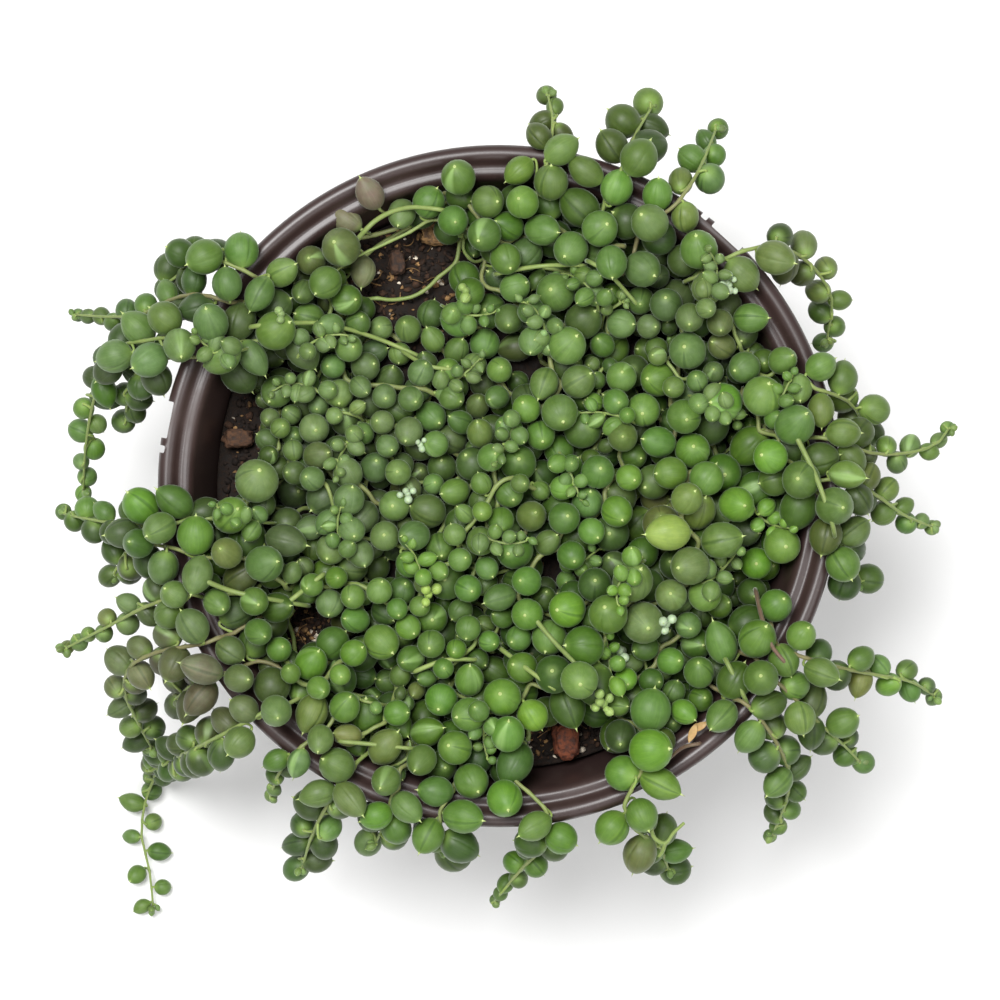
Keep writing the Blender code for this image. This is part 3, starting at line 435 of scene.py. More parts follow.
def grow():
    plans = planPlant()
    points, radii, vine, order, leaf, hold, creeps = [], [], [], [], [], [], []
    chain, bend, petiole = [], [], []
    starts = {}
    for number, (name, (stem, leaves, held)) in enumerate(plans.items()):
        base = len(points)
        starts[name] = base
        points += stem + [p for p, _, _ in leaves]
        radii += [stemRoom] * len(stem) + [r for _, r, _ in leaves]
        vine += [number] * (len(stem) + len(leaves))
        order += list(range(len(stem))) + [j for _, _, j in leaves]
        leaf += [False] * len(stem) + [True] * len(leaves)
        hold += held + [0.0] * len(leaves)
        creeps += [name.startswith("creeper")] * (len(stem) + len(leaves))
        chain += [(base + k, base + k + 1) for k in range(len(stem) - 1)]
        bend += [(base + k, base + k + 3) for k in range(len(stem) - 3)]
        petiole += [(base + j, base + len(stem) + k) for k, (_, _, j) in enumerate(leaves)]
    links = [np.array(link) for link in (chain, bend, petiole)]
    balls = (points, radii, vine, order, leaf, hold, creeps)
    placed = settle(*(np.array(values) for values in balls), links)
    plant = {}
    for name, (stem, leaves, _) in plans.items():
        base = starts[name]
        line = placed[base:base + len(stem)]
        centres = placed[base + len(stem):base + len(stem) + len(leaves)]
        grown = [(c, r, line[j]) for c, (_, r, j) in zip(centres, leaves)]
        plant[name] = (line, [leaf for leaf in grown if not inTheWay(leaf[0])])
    return plant



# Meshes made of rings of points, with what their materials read


def addObject(name, data):
    made = bpy.data.objects.new(name, data)
    bpy.context.scene.collection.objects.link(made)
    return made


def ballMesh(detail):
    ball = bmesh.new()
    bmesh.ops.create_icosphere(ball, subdivisions=detail, radius=1)
    points = np.array([v.co for v in ball.verts])
    faces = np.array([[v.index for v in f.verts] for f in ball.faces])
    ball.free()
    return points, faces


def smoothed(heights, wide, rounds):
    for _ in range(rounds):
        heights = np.convolve(np.pad(heights, wide // 2, mode="edge"), np.ones(wide) / wide, "valid")
    return heights


def srgb(r, g, b):
    return np.array([((c / 255 + 0.055) / 1.055) ** 2.4 for c in (r, g, b)])


plainLine = (0.5, 0.5, 0.0, 0.0)  # marks what isn't a leaf: turn, run, kind, seed


class Shape:

    def __init__(self):
        self.count = 0
        self.points, self.tint, self.line = [], [], []
        self.quads, self.quadUv, self.tris, self.triUv = [], [], [], []

    def addRings(self, rings, poles, around, across, patch, tint, line):
        rows, columns = rings.shape[:2]
        u0, v0, u1, v1 = patch
        u = u0 + (u1 - u0) * np.asarray(around)
        v = v0 + (v1 - v0) * np.asarray(across)
        self.points.append(np.concatenate([rings.reshape(-1, 3), np.asarray(poles)]))
        total = rows * columns + 2
        self.tint.append(np.broadcast_to(tint, (total, 4)))
        self.line.append(np.broadcast_to(line, (total, 4)))
        here = np.arange(columns)
        beside = (here + 1) % columns
        row = (np.arange(rows - 1) * columns)[:, None]
        quads = np.stack([row + here, row + beside, row + columns + beside, row + columns + here], -1)
        self.quads.append(quads.reshape(-1, 4) + self.count)
        ua, ub = np.broadcast_arrays(u[:-1][None], np.zeros((rows - 1, 1)))[0], u[1:][None]
        ub = np.broadcast_to(ub, ua.shape)
        va, vb = np.broadcast_to(v[:-1, None], ua.shape), np.broadcast_to(v[1:, None], ua.shape)
        uv = np.stack([np.stack(pair, -1) for pair in ((ua, va), (ub, va), (ub, vb), (ua, vb))], 2)
        self.quadUv.append(uv.reshape(-1, 2))
        first, last = rows * columns, rows * columns + 1
        top = (rows - 1) * columns
        self.tris.append(np.stack([np.full(columns, first), beside, here], -1) + self.count)
        self.tris.append(np.stack([np.full(columns, last), top + here, top + beside], -1) + self.count)
        mid = (u[:-1] + u[1:]) / 2
        for low, high, a, b in ((v0, v[0], u[1:], u[:-1]), (v1, v[-1], u[:-1], u[1:])):
            level = np.full(columns, low)
            other = np.full(columns, high)
            corners = [np.stack(pair, -1) for pair in ((mid, level), (a, other), (b, other))]
            self.triUv.append(np.stack(corners, 1).reshape(-1, 2))
        self.count += total

    def addMesh(self, points, faces, tint, line, patch):
        u0, v0, u1, v1 = patch
        low, span = points.min(0), np.maximum(np.ptp(points, axis=0), 1e-9)
        flat = (points[:, :2] - low[:2]) / span[:2]
        uv = np.stack([u0 + (u1 - u0) * flat[:, 0], v0 + (v1 - v0) * flat[:, 1]], -1)
        self.points.append(points)
        self.tint.append(np.broadcast_to(tint, (len(points), 4)))
        self.line.append(np.broadcast_to(line, (len(points), 4)))
        self.tris.append(faces + self.count)
        self.triUv.append(uv[faces].reshape(-1, 2))
        self.count += len(points)

    def finish(self, name, material):
        quads = np.concatenate(self.quads) if self.quads else np.zeros((0, 4), int)
        tris = np.concatenate(self.tris) if self.tris else np.zeros((0, 3), int)
        mesh = bpy.data.meshes.new(name)
        mesh.vertices.add(self.count)
        points = np.concatenate(self.points) * mm
        mesh.vertices.foreach_set("co", points.astype(np.float32).ravel())
        corners = np.concatenate([quads.ravel(), tris.ravel()]).astype(np.int32)
        mesh.loops.add(len(corners))
        mesh.loops.foreach_set("vertex_index", corners)
        mesh.polygons.add(len(quads) + len(tris))
        starts = np.concatenate([np.arange(len(quads)) * 4, len(quads) * 4 + np.arange(len(tris)) * 3])
        mesh.polygons.foreach_set("loop_start", starts.astype(np.int32))
        mesh.update(calc_edges=True)
        mesh.shade_smooth()
        uv = np.concatenate(self.quadUv + self.triUv).astype(np.float32)
        mesh.uv_layers.new(name="OFBake").uv.foreach_set("vector", uv.ravel())
        for layer, values in (("tint", self.tint), ("line", self.line)):
            data = mesh.attributes.new(layer, "FLOAT_COLOR", "POINT").data
            data.foreach_set("color", np.concatenate(values).astype(np.float32).ravel())
        mesh.materials.append(material)
        return addObject(name, mesh)


def smoothLine(points, parts=3):
    points = np.asarray(points, float)
    padded = np.concatenate([[2 * points[0] - points[1]], points, [2 * points[-1] - points[-2]]])
    t = (np.arange(parts) / parts)[None, :, None]
    a, b, c, d = (padded[k:len(padded) - 3 + k, None, :] for k in range(4))
    curve = b + 0.5 * t * (c - a + t * (2 * a - 5 * b + 4 * c - d + t * (3 * b - a - 3 * c + d)))
    return np.concatenate([curve.reshape(-1, 3), points[-1:]])


def tubeRings(line, radii, sides):
    ahead = np.gradient(line, axis=0)
    ahead /= np.maximum(np.linalg.norm(ahead, axis=1, keepdims=True), 1e-9)
    side = np.cross(ahead[0], (0.31, 0.17, 0.93))
    side /= np.linalg.norm(side)
    sidesAlong = []
    for step in ahead:
        side = side - step * (side @ step)
        side /= max(np.linalg.norm(side), 1e-9)
        sidesAlong.append(side)
    across = np.array(sidesAlong)
    over = np.cross(ahead, across)
    turn = 2 * math.pi * np.arange(sides) / sides
    spokes = across[:, None] * np.cos(turn)[None, :, None] + over[:, None] * np.sin(turn)[None, :, None]
    return line[:, None] + spokes * np.asarray(radii)[:, None, None]


def addTube(shape, line, radii, sides, patch, tint, line4=(0.5, 0.5, 0.5, 0.0)):
    rings = tubeRings(line, radii, sides)
    ends = line[[0, -1]] + (line[[0, -1]] - line[[1, -2]]) * 0.15
    run = np.linspace(0, 1, len(line))
    colour = np.empty((len(line), sides, 4))
    colour[:] = np.asarray(tint).reshape(-1, 1, 4) if np.ndim(tint) == 2 else tint
    full = np.concatenate([colour.reshape(-1, 4), colour[[0, -1], 0]])
    shape.addRings(rings, ends, np.linspace(0, 1, sides + 1), run, patch, full, line4)


# Leaves

leafLook = {
    "mucro": 0.19,  # length of the point at the tip, in leaf radii
    "grooveDepth": 0.035,  # depth of the window line, in leaf radii
    "grooveWidth": 0.09,  # its half width, in radians
    "petioleRadius": 0.36,  # in millimetres
    "stemRadius": 0.6,
    "strandRadius": 0.52,
    "shade": 0.55,  # painted shade: how much darker a leaf is drawn where other leaves cover it
}

half = np.array([0, 0.05, 0.1, 0.17, 0.27, 0.42, 0.62, 0.87, 1.15, 1.47, 1.8, 2.15, 2.5, 2.85])
leafTurns = np.concatenate([-half[:0:-1], half, [math.pi]])
leafRuns = np.array([0.05, 0.1, 0.17, 0.25, 0.33, 0.41, 0.49, 0.57, 0.65, 0.73, 0.8, 0.865, 0.915, 0.95])


def leafPoints(lemon, groove, bend):
    angle = math.pi * leafRuns
    pull = np.clip((leafRuns - 0.55) / 0.45, 0, 1) ** 1.5
    foot = np.clip((0.4 - leafRuns) / 0.4, 0, 1) ** 1.5
    radius = np.sin(angle) * (1 - 0.5 * lemon * pull - 0.26 * lemon * foot)
    height = -np.cos(angle) * (1 + 0.28 * lemon * np.where(leafRuns > 0.5, 1, 0.45))
    tipHeight = 1 + 0.28 * lemon
    radius = np.concatenate([[0.085], radius, [0.075, 0.038]])
    height = np.concatenate([[-1.03 - 0.12 * lemon], height, [tipHeight + 0.015, tipHeight + 0.07]])
    share = np.concatenate([[0.0], leafRuns, [0.985, 0.995]])
    near = np.exp(-(leafTurns / leafLook["grooveWidth"]) ** 2)
    span = np.clip((share - 0.1) / 0.2, 0, 1) * np.clip((0.97 - share) / 0.1, 0, 1)
    dent = 1 - groove * near[None, :] * span[:, None]
    flat = 1 - 0.035 * np.cos(leafTurns)[None, :] * span[:, None]
    x = radius[:, None] * np.cos(leafTurns)[None, :] * dent * flat
    y = radius[:, None] * np.sin(leafTurns)[None, :] * dent
    z = np.broadcast_to(height[:, None], x.shape)
    x = x + bend * (z ** 2) * 0.12
    rings = np.stack([x, y, z], -1)
    poles = np.array([[bend * 0.12, 0, -1.05 - 0.12 * lemon],
                      [bend * 0.16, 0, tipHeight + leafLook["mucro"] * (1 + 0.5 * lemon)]])
    turns = np.broadcast_to(np.abs(leafTurns)[None, :] / math.pi, x.shape)
    runs = np.broadcast_to(share[:, None], x.shape)
    return rings, poles, turns, runs


def unit(vector):
    return vector / max(np.linalg.norm(vector), 1e-9)


def addLeaf(shape, centre, radius, foot, colour, bloom, lemon, kind, patch, rng, upright=0.55):
    direct = unit(centre - foot)
    aim = direct + upright * rng.uniform(0.2, 1.3) * np.array([0, 0, 1.0]) + 0.35 * rng.normal(size=3)
    aim = unit(aim)
    if aim @ direct < 0.35:
        aim = unit(direct + 0.6 * aim)
    up = np.array([0, 0, 1.0]) + 0.5 * rng.normal(size=3)
    face = unit(up - aim * (up @ aim))
    side = np.cross(aim, face)
    turn = np.stack([face, side, aim], 0)
    groove = leafLook["grooveDepth"] * rng.uniform(0.4, 1.3)
    rings, poles, turns, runs = leafPoints(lemon, groove, rng.uniform(-0.6, 0.6) * (0.4 + lemon))
    wide = radius * (1 + rng.uniform(-0.04, 0.04)) * (1 - 0.13 * lemon)
    tall = radius * (1 + rng.uniform(-0.04, 0.05) + 0.06 * lemon)
    rings = rings * (wide, wide, tall)
    poles = poles * (wide, wide, tall)
    count = rings.shape[0] * rings.shape[1]
    line = np.empty((count + 2, 4))
    line[:count, 0], line[:count, 1] = turns.ravel(), runs.ravel()
    line[count:, 0], line[count:, 1] = 0.5, (0.0, 1.0)
    line[:, 2], line[:, 3] = kind, rng.uniform(0.05, 1)
    u0, v0, u1, v1 = patch
    body = (u0, v0 + 0.12 * (v1 - v0), u1, v1)
    around = np.concatenate([leafTurns, [leafTurns[0] + 2 * math.pi]])
    around = (around - around[0]) / (around[-1] - around[0])
    across = np.concatenate([[0.02], leafRuns, [0.975, 0.99]])
    tint = np.array([*colour, bloom])
    lowest = (rings @ turn + centre)[..., 2].min()
    centre = centre + np.array([0, 0, max(0, 0.1 - lowest)])
    shape.addRings(rings @ turn + centre, poles @ turn + centre, around, across, body, tint, line)
    base = centre + (poles[0] * 0.93) @ turn
    reach = np.linalg.norm(base - foot)
    bow = base - aim * (0.45 * reach + 0.2)
    t = np.linspace(0, 1, 6)[:, None]
    stalk = (1 - t) ** 2 * foot + 2 * t * (1 - t) * bow + t ** 2 * base
    thick = leafLook["petioleRadius"] * min(1, 0.5 + radius / 6)
    widths = thick * np.array([1.25, 1.0, 0.92, 0.95, 1.1, 1.35])
    pale = np.array([*(colour * 0.35 + srgb(150, 168, 92) * 0.65), 0.1])
    addTube(shape, stalk, widths, 6, (u0, v0, u1, v0 + 0.09 * (v1 - v0)), pale)


# Colours by place: middle x and y, how far it reaches, strength

purpleSpots = [(-34, 69, 8, 1.0), (-76, -46, 11, 0.6), (-66, -50, 8, 0.5), (-90, -46, 7, 0.5)]
oliveSpots = [(74, 56, 12, 0.95), (-42, 58, 7, 0.7), (90, 2, 8, 0.5), (84, 20, 7, 0.5),
              (10, 84, 9, 0.7), (30, 86, 9, 0.4), (-84, -44, 12, 0.4), (70, -52, 8, 0.4)]
creamSpots = [(38, -5, 3.2, 1.0), (45, -9, 3.2, 0.8)]
dustySpots = [(-33, 22, 16, 0.9), (-42, -8, 14, 0.8), (-30, -2, 13, 0.8), (44, 42, 18, 0.75),
              (2, 36, 14, 0.6), (-88, 30, 22, 0.4), (100, 8, 18, 0.55), (-92, -38, 16, 0.6),
              (40, -26, 12, 0.7), (88, -66, 14, 0.5), (-48, -74, 12, 0.5), (-60, 36, 14, 0.5)]
freshSpots = [(52, -6, 20, 0.7), (-62, 3, 8, 0.7), (-28, 42, 9, 0.9), (20, -48, 12, 0.7),
              (40, -70, 12, 0.6), (28, 18, 13, 0.5), (62, 14, 12, 0.6), (-38, -22, 10, 0.6),
              (4, 70, 12, 0.5), (-8, -60, 12, 0.5)]

leafColours = {
    "middle": srgb(71, 103, 37),
    "fresh": srgb(90, 130, 32),
    "dusty": srgb(84, 105, 57),
    "purple": srgb(86, 74, 64),
    "olive": srgb(92, 98, 50),
    "cream": srgb(150, 154, 88),
    "tip": srgb(106, 128, 70),
}


def spotted(spots, x, y):
    share = sum(s * math.exp(-((x - cx) ** 2 + (y - cy) ** 2) / (2 * r * r)) for cx, cy, r, s in spots)
    return min(1.0, share)


def leafTone(centre, radius, young, rng, paintedShade=0.0, strand=False):
    x, y = centre[0], centre[1]
    dusty = min(1, max(0, spotted(dustySpots, x, y) * 0.8 + rng.normal(0.12, 0.25)))
    fresh = min(1, max(0, spotted(freshSpots, x, y) * 0.8 + rng.normal(0.1, 0.3)))
    colour = leafColours["middle"] * (1 - fresh) + leafColours["fresh"] * fresh
    colour = colour * (1 - dusty) + leafColours["dusty"] * dusty
    colour = colour * (1 - 0.6 * young) + leafColours["tip"] * 0.6 * young
    olive = spotted(oliveSpots, x, y) * rng.uniform(0.5, 1)
    purple = spotted(purpleSpots, x, y) * rng.uniform(0.6, 1)
    cream = spotted(creamSpots, x, y)
    if rng.uniform() < 0.05:
        olive = max(olive, rng.uniform(0.3, 0.9))
    for name, share in (("olive", olive), ("purple", purple), ("cream", cream)):
        colour = colour * (1 - share) + leafColours[name] * share
    colour = colour * rng.uniform(0.8, 1.18) * np.array([rng.uniform(0.9, 1.1), 1, rng.uniform(0.85, 1.15)])
    # Painted shade: a leaf that other leaves cover is drawn darker and with less bloom
    colour = colour * (1 - leafLook["shade"] * paintedShade)
    bloom = min(1, 0.25 + 0.5 * dusty + 0.4 * purple + 0.3 * young + rng.uniform(-0.1, 0.25))
    bloom = bloom * (1 - 0.7 * paintedShade)
    lemon = max(rng.uniform(0, 0.2), 0.9 * max(olive, purple) + rng.uniform(-0.1, 0.15), cream * 0.5)
    if rng.uniform() < (0.55 if strand else 0.34):
        lemon = max(lemon, rng.uniform(0.3, 1.0 if strand else 0.8))
    return np.clip(colour, 0.01, 0.9), bloom, min(1.0, max(0.0, lemon))


# Materials


class Nodes:

    def __init__(self, name):
        self.material = bpy.data.materials.new(name)
        self.material.use_nodes = True
        self.tree = self.material.node_tree
        self.shader = self.tree.nodes["Principled BSDF"]

    def add(self, kind, **settings):
        node = self.tree.nodes.new(kind)
        for key, value in settings.items():
            setattr(node, key, value)
        return node

    def join(self, output, socket):
        self.tree.links.new(output, socket)

    def put(self, socket, value):
        if isinstance(value, bpy.types.NodeSocket):
            self.join(value, socket)
        elif isinstance(value, (tuple, list, np.ndarray)) and len(value) == 3 and socket.type == "RGBA":
            socket.default_value = (*value, 1)
        else:
            socket.default_value = value

    def maths(self, operation, a, b=0.0, c=0.0, clamp=False):
        node = self.add("ShaderNodeMath", operation=operation, use_clamp=clamp)
        for socket, value in zip(node.inputs, (a, b, c)):
            self.put(socket, value)
        return node.outputs[0]

    def times(self, a, b):
        return self.maths("MULTIPLY", a, b)

    def ramp(self, value, low, high, start=0.0, end=1.0):
        node = self.add("ShaderNodeMapRange", interpolation_type="SMOOTHSTEP")
        for socket, given in zip(node.inputs, (value, low, high, start, end)):
            self.put(socket, given)
        return node.outputs[0]

    def mix(self, share, a, b, blend="MIX"):
        node = self.add("ShaderNodeMix", data_type="RGBA", blend_type=blend)
        self.put(node.inputs[0], share)
        self.put(node.inputs[6], a)
        self.put(node.inputs[7], b)
        return node.outputs[2]

    def tinted(self, colour, by):
        return self.mix(1.0, colour, by, "MULTIPLY")

    def grain(self, scale, detail=2.0, rough=0.5, vector=None):
        node = self.add("ShaderNodeTexNoise")
        node.inputs["Scale"].default_value = scale
        node.inputs["Detail"].default_value = detail
        node.inputs["Roughness"].default_value = rough
        if vector is not None:
            self.join(vector, node.inputs["Vector"])
        return node.outputs["Fac"]

    def place(self):
        return self.add("ShaderNodeTexCoord").outputs["Object"]

    def attribute(self, name):
        return self.add("ShaderNodeAttribute", attribute_name=name)

    def bump(self, height, strength, distance):
        node = self.add("ShaderNodeBump")
        node.inputs["Strength"].default_value = strength
        node.inputs["Distance"].default_value = distance
        self.join(height, node.inputs["Height"])
        self.join(node.outputs[0], self.shader.inputs["Normal"])

    def set(self, **values):
        for name, value in values.items():
            self.put(self.shader.inputs[name.replace("_", " ")], value)


def leafMaterial():
    look = Nodes("leaf_skin")
    place = look.place()
    tint, line = look.attribute("tint"), look.attribute("line")
    parts = look.add("ShaderNodeSeparateColor")
    look.join(line.outputs["Color"], parts.inputs[0])
    turn, run, kind = parts.outputs[0], parts.outputs[1], parts.outputs[2]
    isLeaf = look.maths("GREATER_THAN", line.outputs["Alpha"], 0.02)
    base = tint.outputs["Color"]
    mottle = look.grain(420.0, 3.0, 0.6, place)
    base = look.mix(look.ramp(mottle, 0.3, 0.75), look.tinted(base, (0.86, 0.9, 0.82)),
                    look.tinted(base, (1.1, 1.08, 1.05)))
    seamSpot = look.add("ShaderNodeCombineXYZ")
    look.join(look.times(turn, 11.0), seamSpot.inputs[0])
    look.join(look.times(run, 0.7), seamSpot.inputs[1])
    look.join(look.times(line.outputs["Alpha"], 60.0), seamSpot.inputs[2])
    streaks = look.ramp(look.grain(3.0, 2.0, 0.6, seamSpot.outputs[0]), 0.45, 0.7)
    streaks = look.times(streaks, isLeaf)
    base = look.mix(look.times(streaks, 0.32), base, look.tinted(base, (1.5, 1.4, 1.5)))
    foot = look.times(look.ramp(run, 0.3, 0.02), isLeaf)
    base = look.mix(look.times(foot, 0.5), base, srgb(140, 172, 84))
    along = look.times(look.ramp(run, 0.08, 0.3), look.ramp(run, 0.985, 0.93))
    # Painted highlights: pale bands along both edges of the window line, lighter beside the dark line, and
    # a pale streak on its own where kind is high
    sides = look.times(look.ramp(turn, 0.15, 0.03), look.times(along, isLeaf))
    middle = look.times(look.ramp(turn, 0.05, 0.012), look.times(along, isLeaf))
    lined = look.ramp(kind, 0.5, 0.3)
    highlitWindow = look.ramp(kind, 0.86, 0.98)
    base = look.mix(look.times(look.times(sides, lined), 0.4), base, look.tinted(base, (1.5, 1.35, 1.5)))
    base = look.mix(look.times(look.times(middle, lined), 0.7), base,
                    look.tinted(base, (0.42, 0.52, 0.42)))
    base = look.mix(look.times(look.times(sides, highlitWindow), 0.45), base, srgb(158, 192, 118))
    # The pale wax colour goes only on the sides that face up: partly the leaves' waxy bloom, partly a
    # painted highlight from the light above
    normal = look.add("ShaderNodeNewGeometry").outputs["Normal"]
    axes = look.add("ShaderNodeSeparateXYZ")
    look.join(normal, axes.inputs[0])
    upper = look.ramp(axes.outputs[2], -0.2, 1.0)
    waxAndTopLight = look.ramp(look.grain(260.0, 4.0, 0.65, place), 0.32, 0.72)
    waxAndTopLight = look.times(look.times(waxAndTopLight, upper), tint.outputs["Alpha"])
    base = look.mix(look.times(waxAndTopLight, 0.24), base, srgb(140, 164, 118))
    glow = look.times(look.ramp(run, 0.84, 0.97), isLeaf)
    base = look.mix(look.times(glow, 0.28), base, srgb(138, 166, 84))
    tip = look.times(look.ramp(run, 0.965, 0.985), isLeaf)
    base = look.mix(look.times(tip, 0.85), base, srgb(186, 200, 130))
    look.set(Base_Color=base, Specular_IOR_Level=0.36, Subsurface_Weight=0.1, Subsurface_Scale=0.0012,
             Subsurface_Radius=(0.5, 1.0, 0.2), Sheen_Weight=0.2, Sheen_Roughness=0.3,
             Sheen_Tint=(0.86, 1.0, 0.8, 1.0))
    rough = look.maths("ADD", look.times(waxAndTopLight, 0.22), look.ramp(mottle, 0.3, 0.75, 0.42, 0.54))
    look.put(look.shader.inputs["Roughness"], rough)
    look.bump(look.grain(1500.0, 2.0, 0.6, place), 0.12, 0.0002)
    return look.material


def soilMaterial():
    look = Nodes("mix_grain")
    place = look.place()
    tint = look.attribute("tint").outputs["Color"]
    fine = look.grain(900.0, 6.0, 0.7, place)
    base = look.mix(look.ramp(fine, 0.35, 0.7), look.tinted(tint, (0.45, 0.42, 0.4)),
                    look.tinted(tint, (1.5, 1.4, 1.3)))
    look.set(Base_Color=base, Roughness=look.ramp(fine, 0.3, 0.7, 0.7, 0.98), Specular_IOR_Level=0.3)
    look.bump(fine, 0.6, 0.0006)
    return look.material


def barkMaterial():
    look = Nodes("bark_grain")
    place = look.place()
    tint = look.attribute("tint").outputs["Color"]
    stretch = look.add("ShaderNodeMapping")
    stretch.inputs["Scale"].default_value = (1.0, 1.0, 5.0)
    look.join(place, stretch.inputs[0])
    layers = look.grain(600.0, 5.0, 0.65, stretch.outputs[0])
    base = look.mix(look.ramp(layers, 0.35, 0.65), look.tinted(tint, (0.35, 0.3, 0.28)),
                    look.tinted(tint, (1.5, 1.35, 1.2)))
    look.set(Base_Color=base, Roughness=look.ramp(layers, 0.3, 0.7, 0.6, 0.92), Specular_IOR_Level=0.35)
    look.bump(layers, 0.7, 0.0006)
    return look.material


potLook = {
    "colour": srgb(54, 40, 38),
    "worn": srgb(82, 66, 62),  # scuffed plastic and water marks
    "dust": srgb(104, 90, 80),
    "roughness": 0.36,
}


def potMaterial():
    look = Nodes("pot_plastic_skin")
    place = look.place()
    base = potLook["colour"]
    marks = look.ramp(look.grain(38.0, 5.0, 0.62, place), 0.5, 0.78)
    base = look.mix(look.times(marks, 0.35), base, potLook["worn"])
    speck = look.ramp(look.grain(700.0, 3.0, 0.7, place), 0.6, 0.78)
    base = look.mix(look.times(speck, 0.25), base, potLook["dust"])
    axes = look.add("ShaderNodeSeparateXYZ")
    look.join(place, axes.inputs[0])
    low = look.ramp(axes.outputs[2], 0.03, 0.0)
    splash = look.times(low, look.ramp(look.grain(160.0, 4.0, 0.6, place), 0.45, 0.7))
    base = look.mix(look.times(splash, 0.3), base, potLook["dust"])
    look.set(Base_Color=base, Specular_IOR_Level=0.5)
    rough = look.ramp(marks, 0.0, 1.0, potLook["roughness"], potLook["roughness"] + 0.16)
    look.put(look.shader.inputs["Roughness"], rough)
    look.bump(look.grain(1100.0, 2.0, 0.5, place), 0.05, 0.0002)
    return look.material


# The plant

print("growing the plant")
plant = grow()
leafSkin = leafMaterial()
rng = np.random.default_rng(7)
stemColours = {"green": srgb(126, 142, 80), "brown": srgb(112, 88, 76), "dark": srgb(84, 66, 56)}
brownStrands = ("southeast_b", "east_a", "lowleft_c", "lowleft_b", "southeast_a", "west_a", "north_a")
leafCells = 7  # leaf patches per row of the map


def patchOf(k):
    column, row = k % leafCells, k // leafCells
    size = 0.93 / leafCells
    u, v = 0.005 + column * size, 0.065 + row * size
    return (u, v, u + size * 0.94, v + size * 0.94)


def addStem(shape, points, radius, brown, tipShare):
    line = smoothLine(points)
    run = np.linspace(0, 1, len(line))
    swell = 1 + 0.16 * np.maximum(0, np.cos(2 * math.pi * np.arange(len(line)) / 6)) ** 6
    widths = radius * swell * (1 - tipShare * run ** 2)
    shades = brown * (1 - run) ** 1.2 + 0.12 * np.sin(9 * run + brown * 20)
    shades = np.clip(shades, 0, 1)[:, None]
    colour = stemColours["green"] * (1 - shades) + stemColours["brown"] * shades
    tint = np.concatenate([colour, np.full((len(line), 1), 0.35)], 1)
    addTube(shape, line, widths, 8, (0.005, 0.005, 0.995, 0.055), tint)


def addTips(shape, end, ahead, count, cell, rng):
    for k in range(count):
        aim = unit(ahead + rng.normal(0, 0.75, 3))
        radius = rng.uniform(0.7, 1.15)
        centre = end + aim * (radius + 0.5) + ahead * 0.35 * k
        centre[2] = max(centre[2], radius + 0.4)
        colour, bloom, _ = leafTone(centre, radius, 1.0, rng)
        addLeaf(shape, centre, radius, end + ahead * 0.3 * k, colour, 0.9, rng.uniform(0.3, 0.8), 0.0,
                patchOf(cell + k), rng, 0.1)


allLeaves = np.array([[*c, r] for _, leaves in plant.values() for c, r, _ in leaves])


# How much painted shade a leaf gets, from how high other leaves rise over it
def paintedShadeShare(centre, radius):
    away = np.hypot(allLeaves[:, 0] - centre[0], allLeaves[:, 1] - centre[1])
    near = allLeaves[away < allLeaves[:, 3] + 0.7 * radius]
    cover = (near[:, 2] + near[:, 3]).max() - centre[2] - radius
    return min(1.0, max(0.0, (cover - 0.8) / 7))


for name, (stem, leaves) in plant.items():
    shape = Shape()
    creeps = name.startswith("creeper")
    key = name.removeprefix("strand_")
    brown = 0.85 if key in brownStrands else rng.uniform(0.05, 0.55)
    radius = leafLook["stemRadius" if creeps else "strandRadius"]
    addStem(shape, stem, radius, brown, 0.35 if creeps else 0.45)
    for k, (centre, size, foot) in enumerate(leaves):
        young = max(0.0, min(1.0, (2.9 - size) / 1.6))
        colour, bloom, lemon = leafTone(centre, size, young, rng, paintedShadeShare(centre, size), not creeps)
        addLeaf(shape, centre, size, foot, colour, bloom, lemon, rng.uniform(), patchOf(k), rng,
                0.55 if creeps else 0.3)
    ahead = unit(stem[-1] - stem[-3])
    addTips(shape, stem[-1], ahead, 3, len(leaves), rng)
    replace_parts(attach(shape.finish(name + "_leaves", leafSkin), "root"), name)
print("made", len(plant), "stems")

# Potting mix and what lies in it

soilLook = {
    "relief": 0.55,  # height of the crumbs in the surface, in millimetres
    "crumbs": 2300,
    "fibres": 150,
    "rings": 118,
    "steps": 360,  # round each ring
    "dark": srgb(32, 24, 19),
    "brown": srgb(60, 43, 32),
    "tan": srgb(138, 110, 74),
    "stone": srgb(206, 200, 186),  # perlite
}


def lump(centre, radii, rng, detail=1):
    points, faces = ballMesh(detail)
    points = points * (1 + 0.28 * rng.normal(size=(len(points), 1)).clip(-1.5, 1.5))
    spin = Matrix.Rotation(rng.uniform(0, 6.28), 3, Vector(unit(rng.normal(size=3))))
    return (points * radii) @ np.array(spin).T + centre, faces


def inOpenPlace(spread, rng):
    cx, cy, wx, wy = openPlaces[rng.integers(len(openPlaces))]
    return rng.normal(cx, wx * spread), rng.normal(cy, wy * spread)


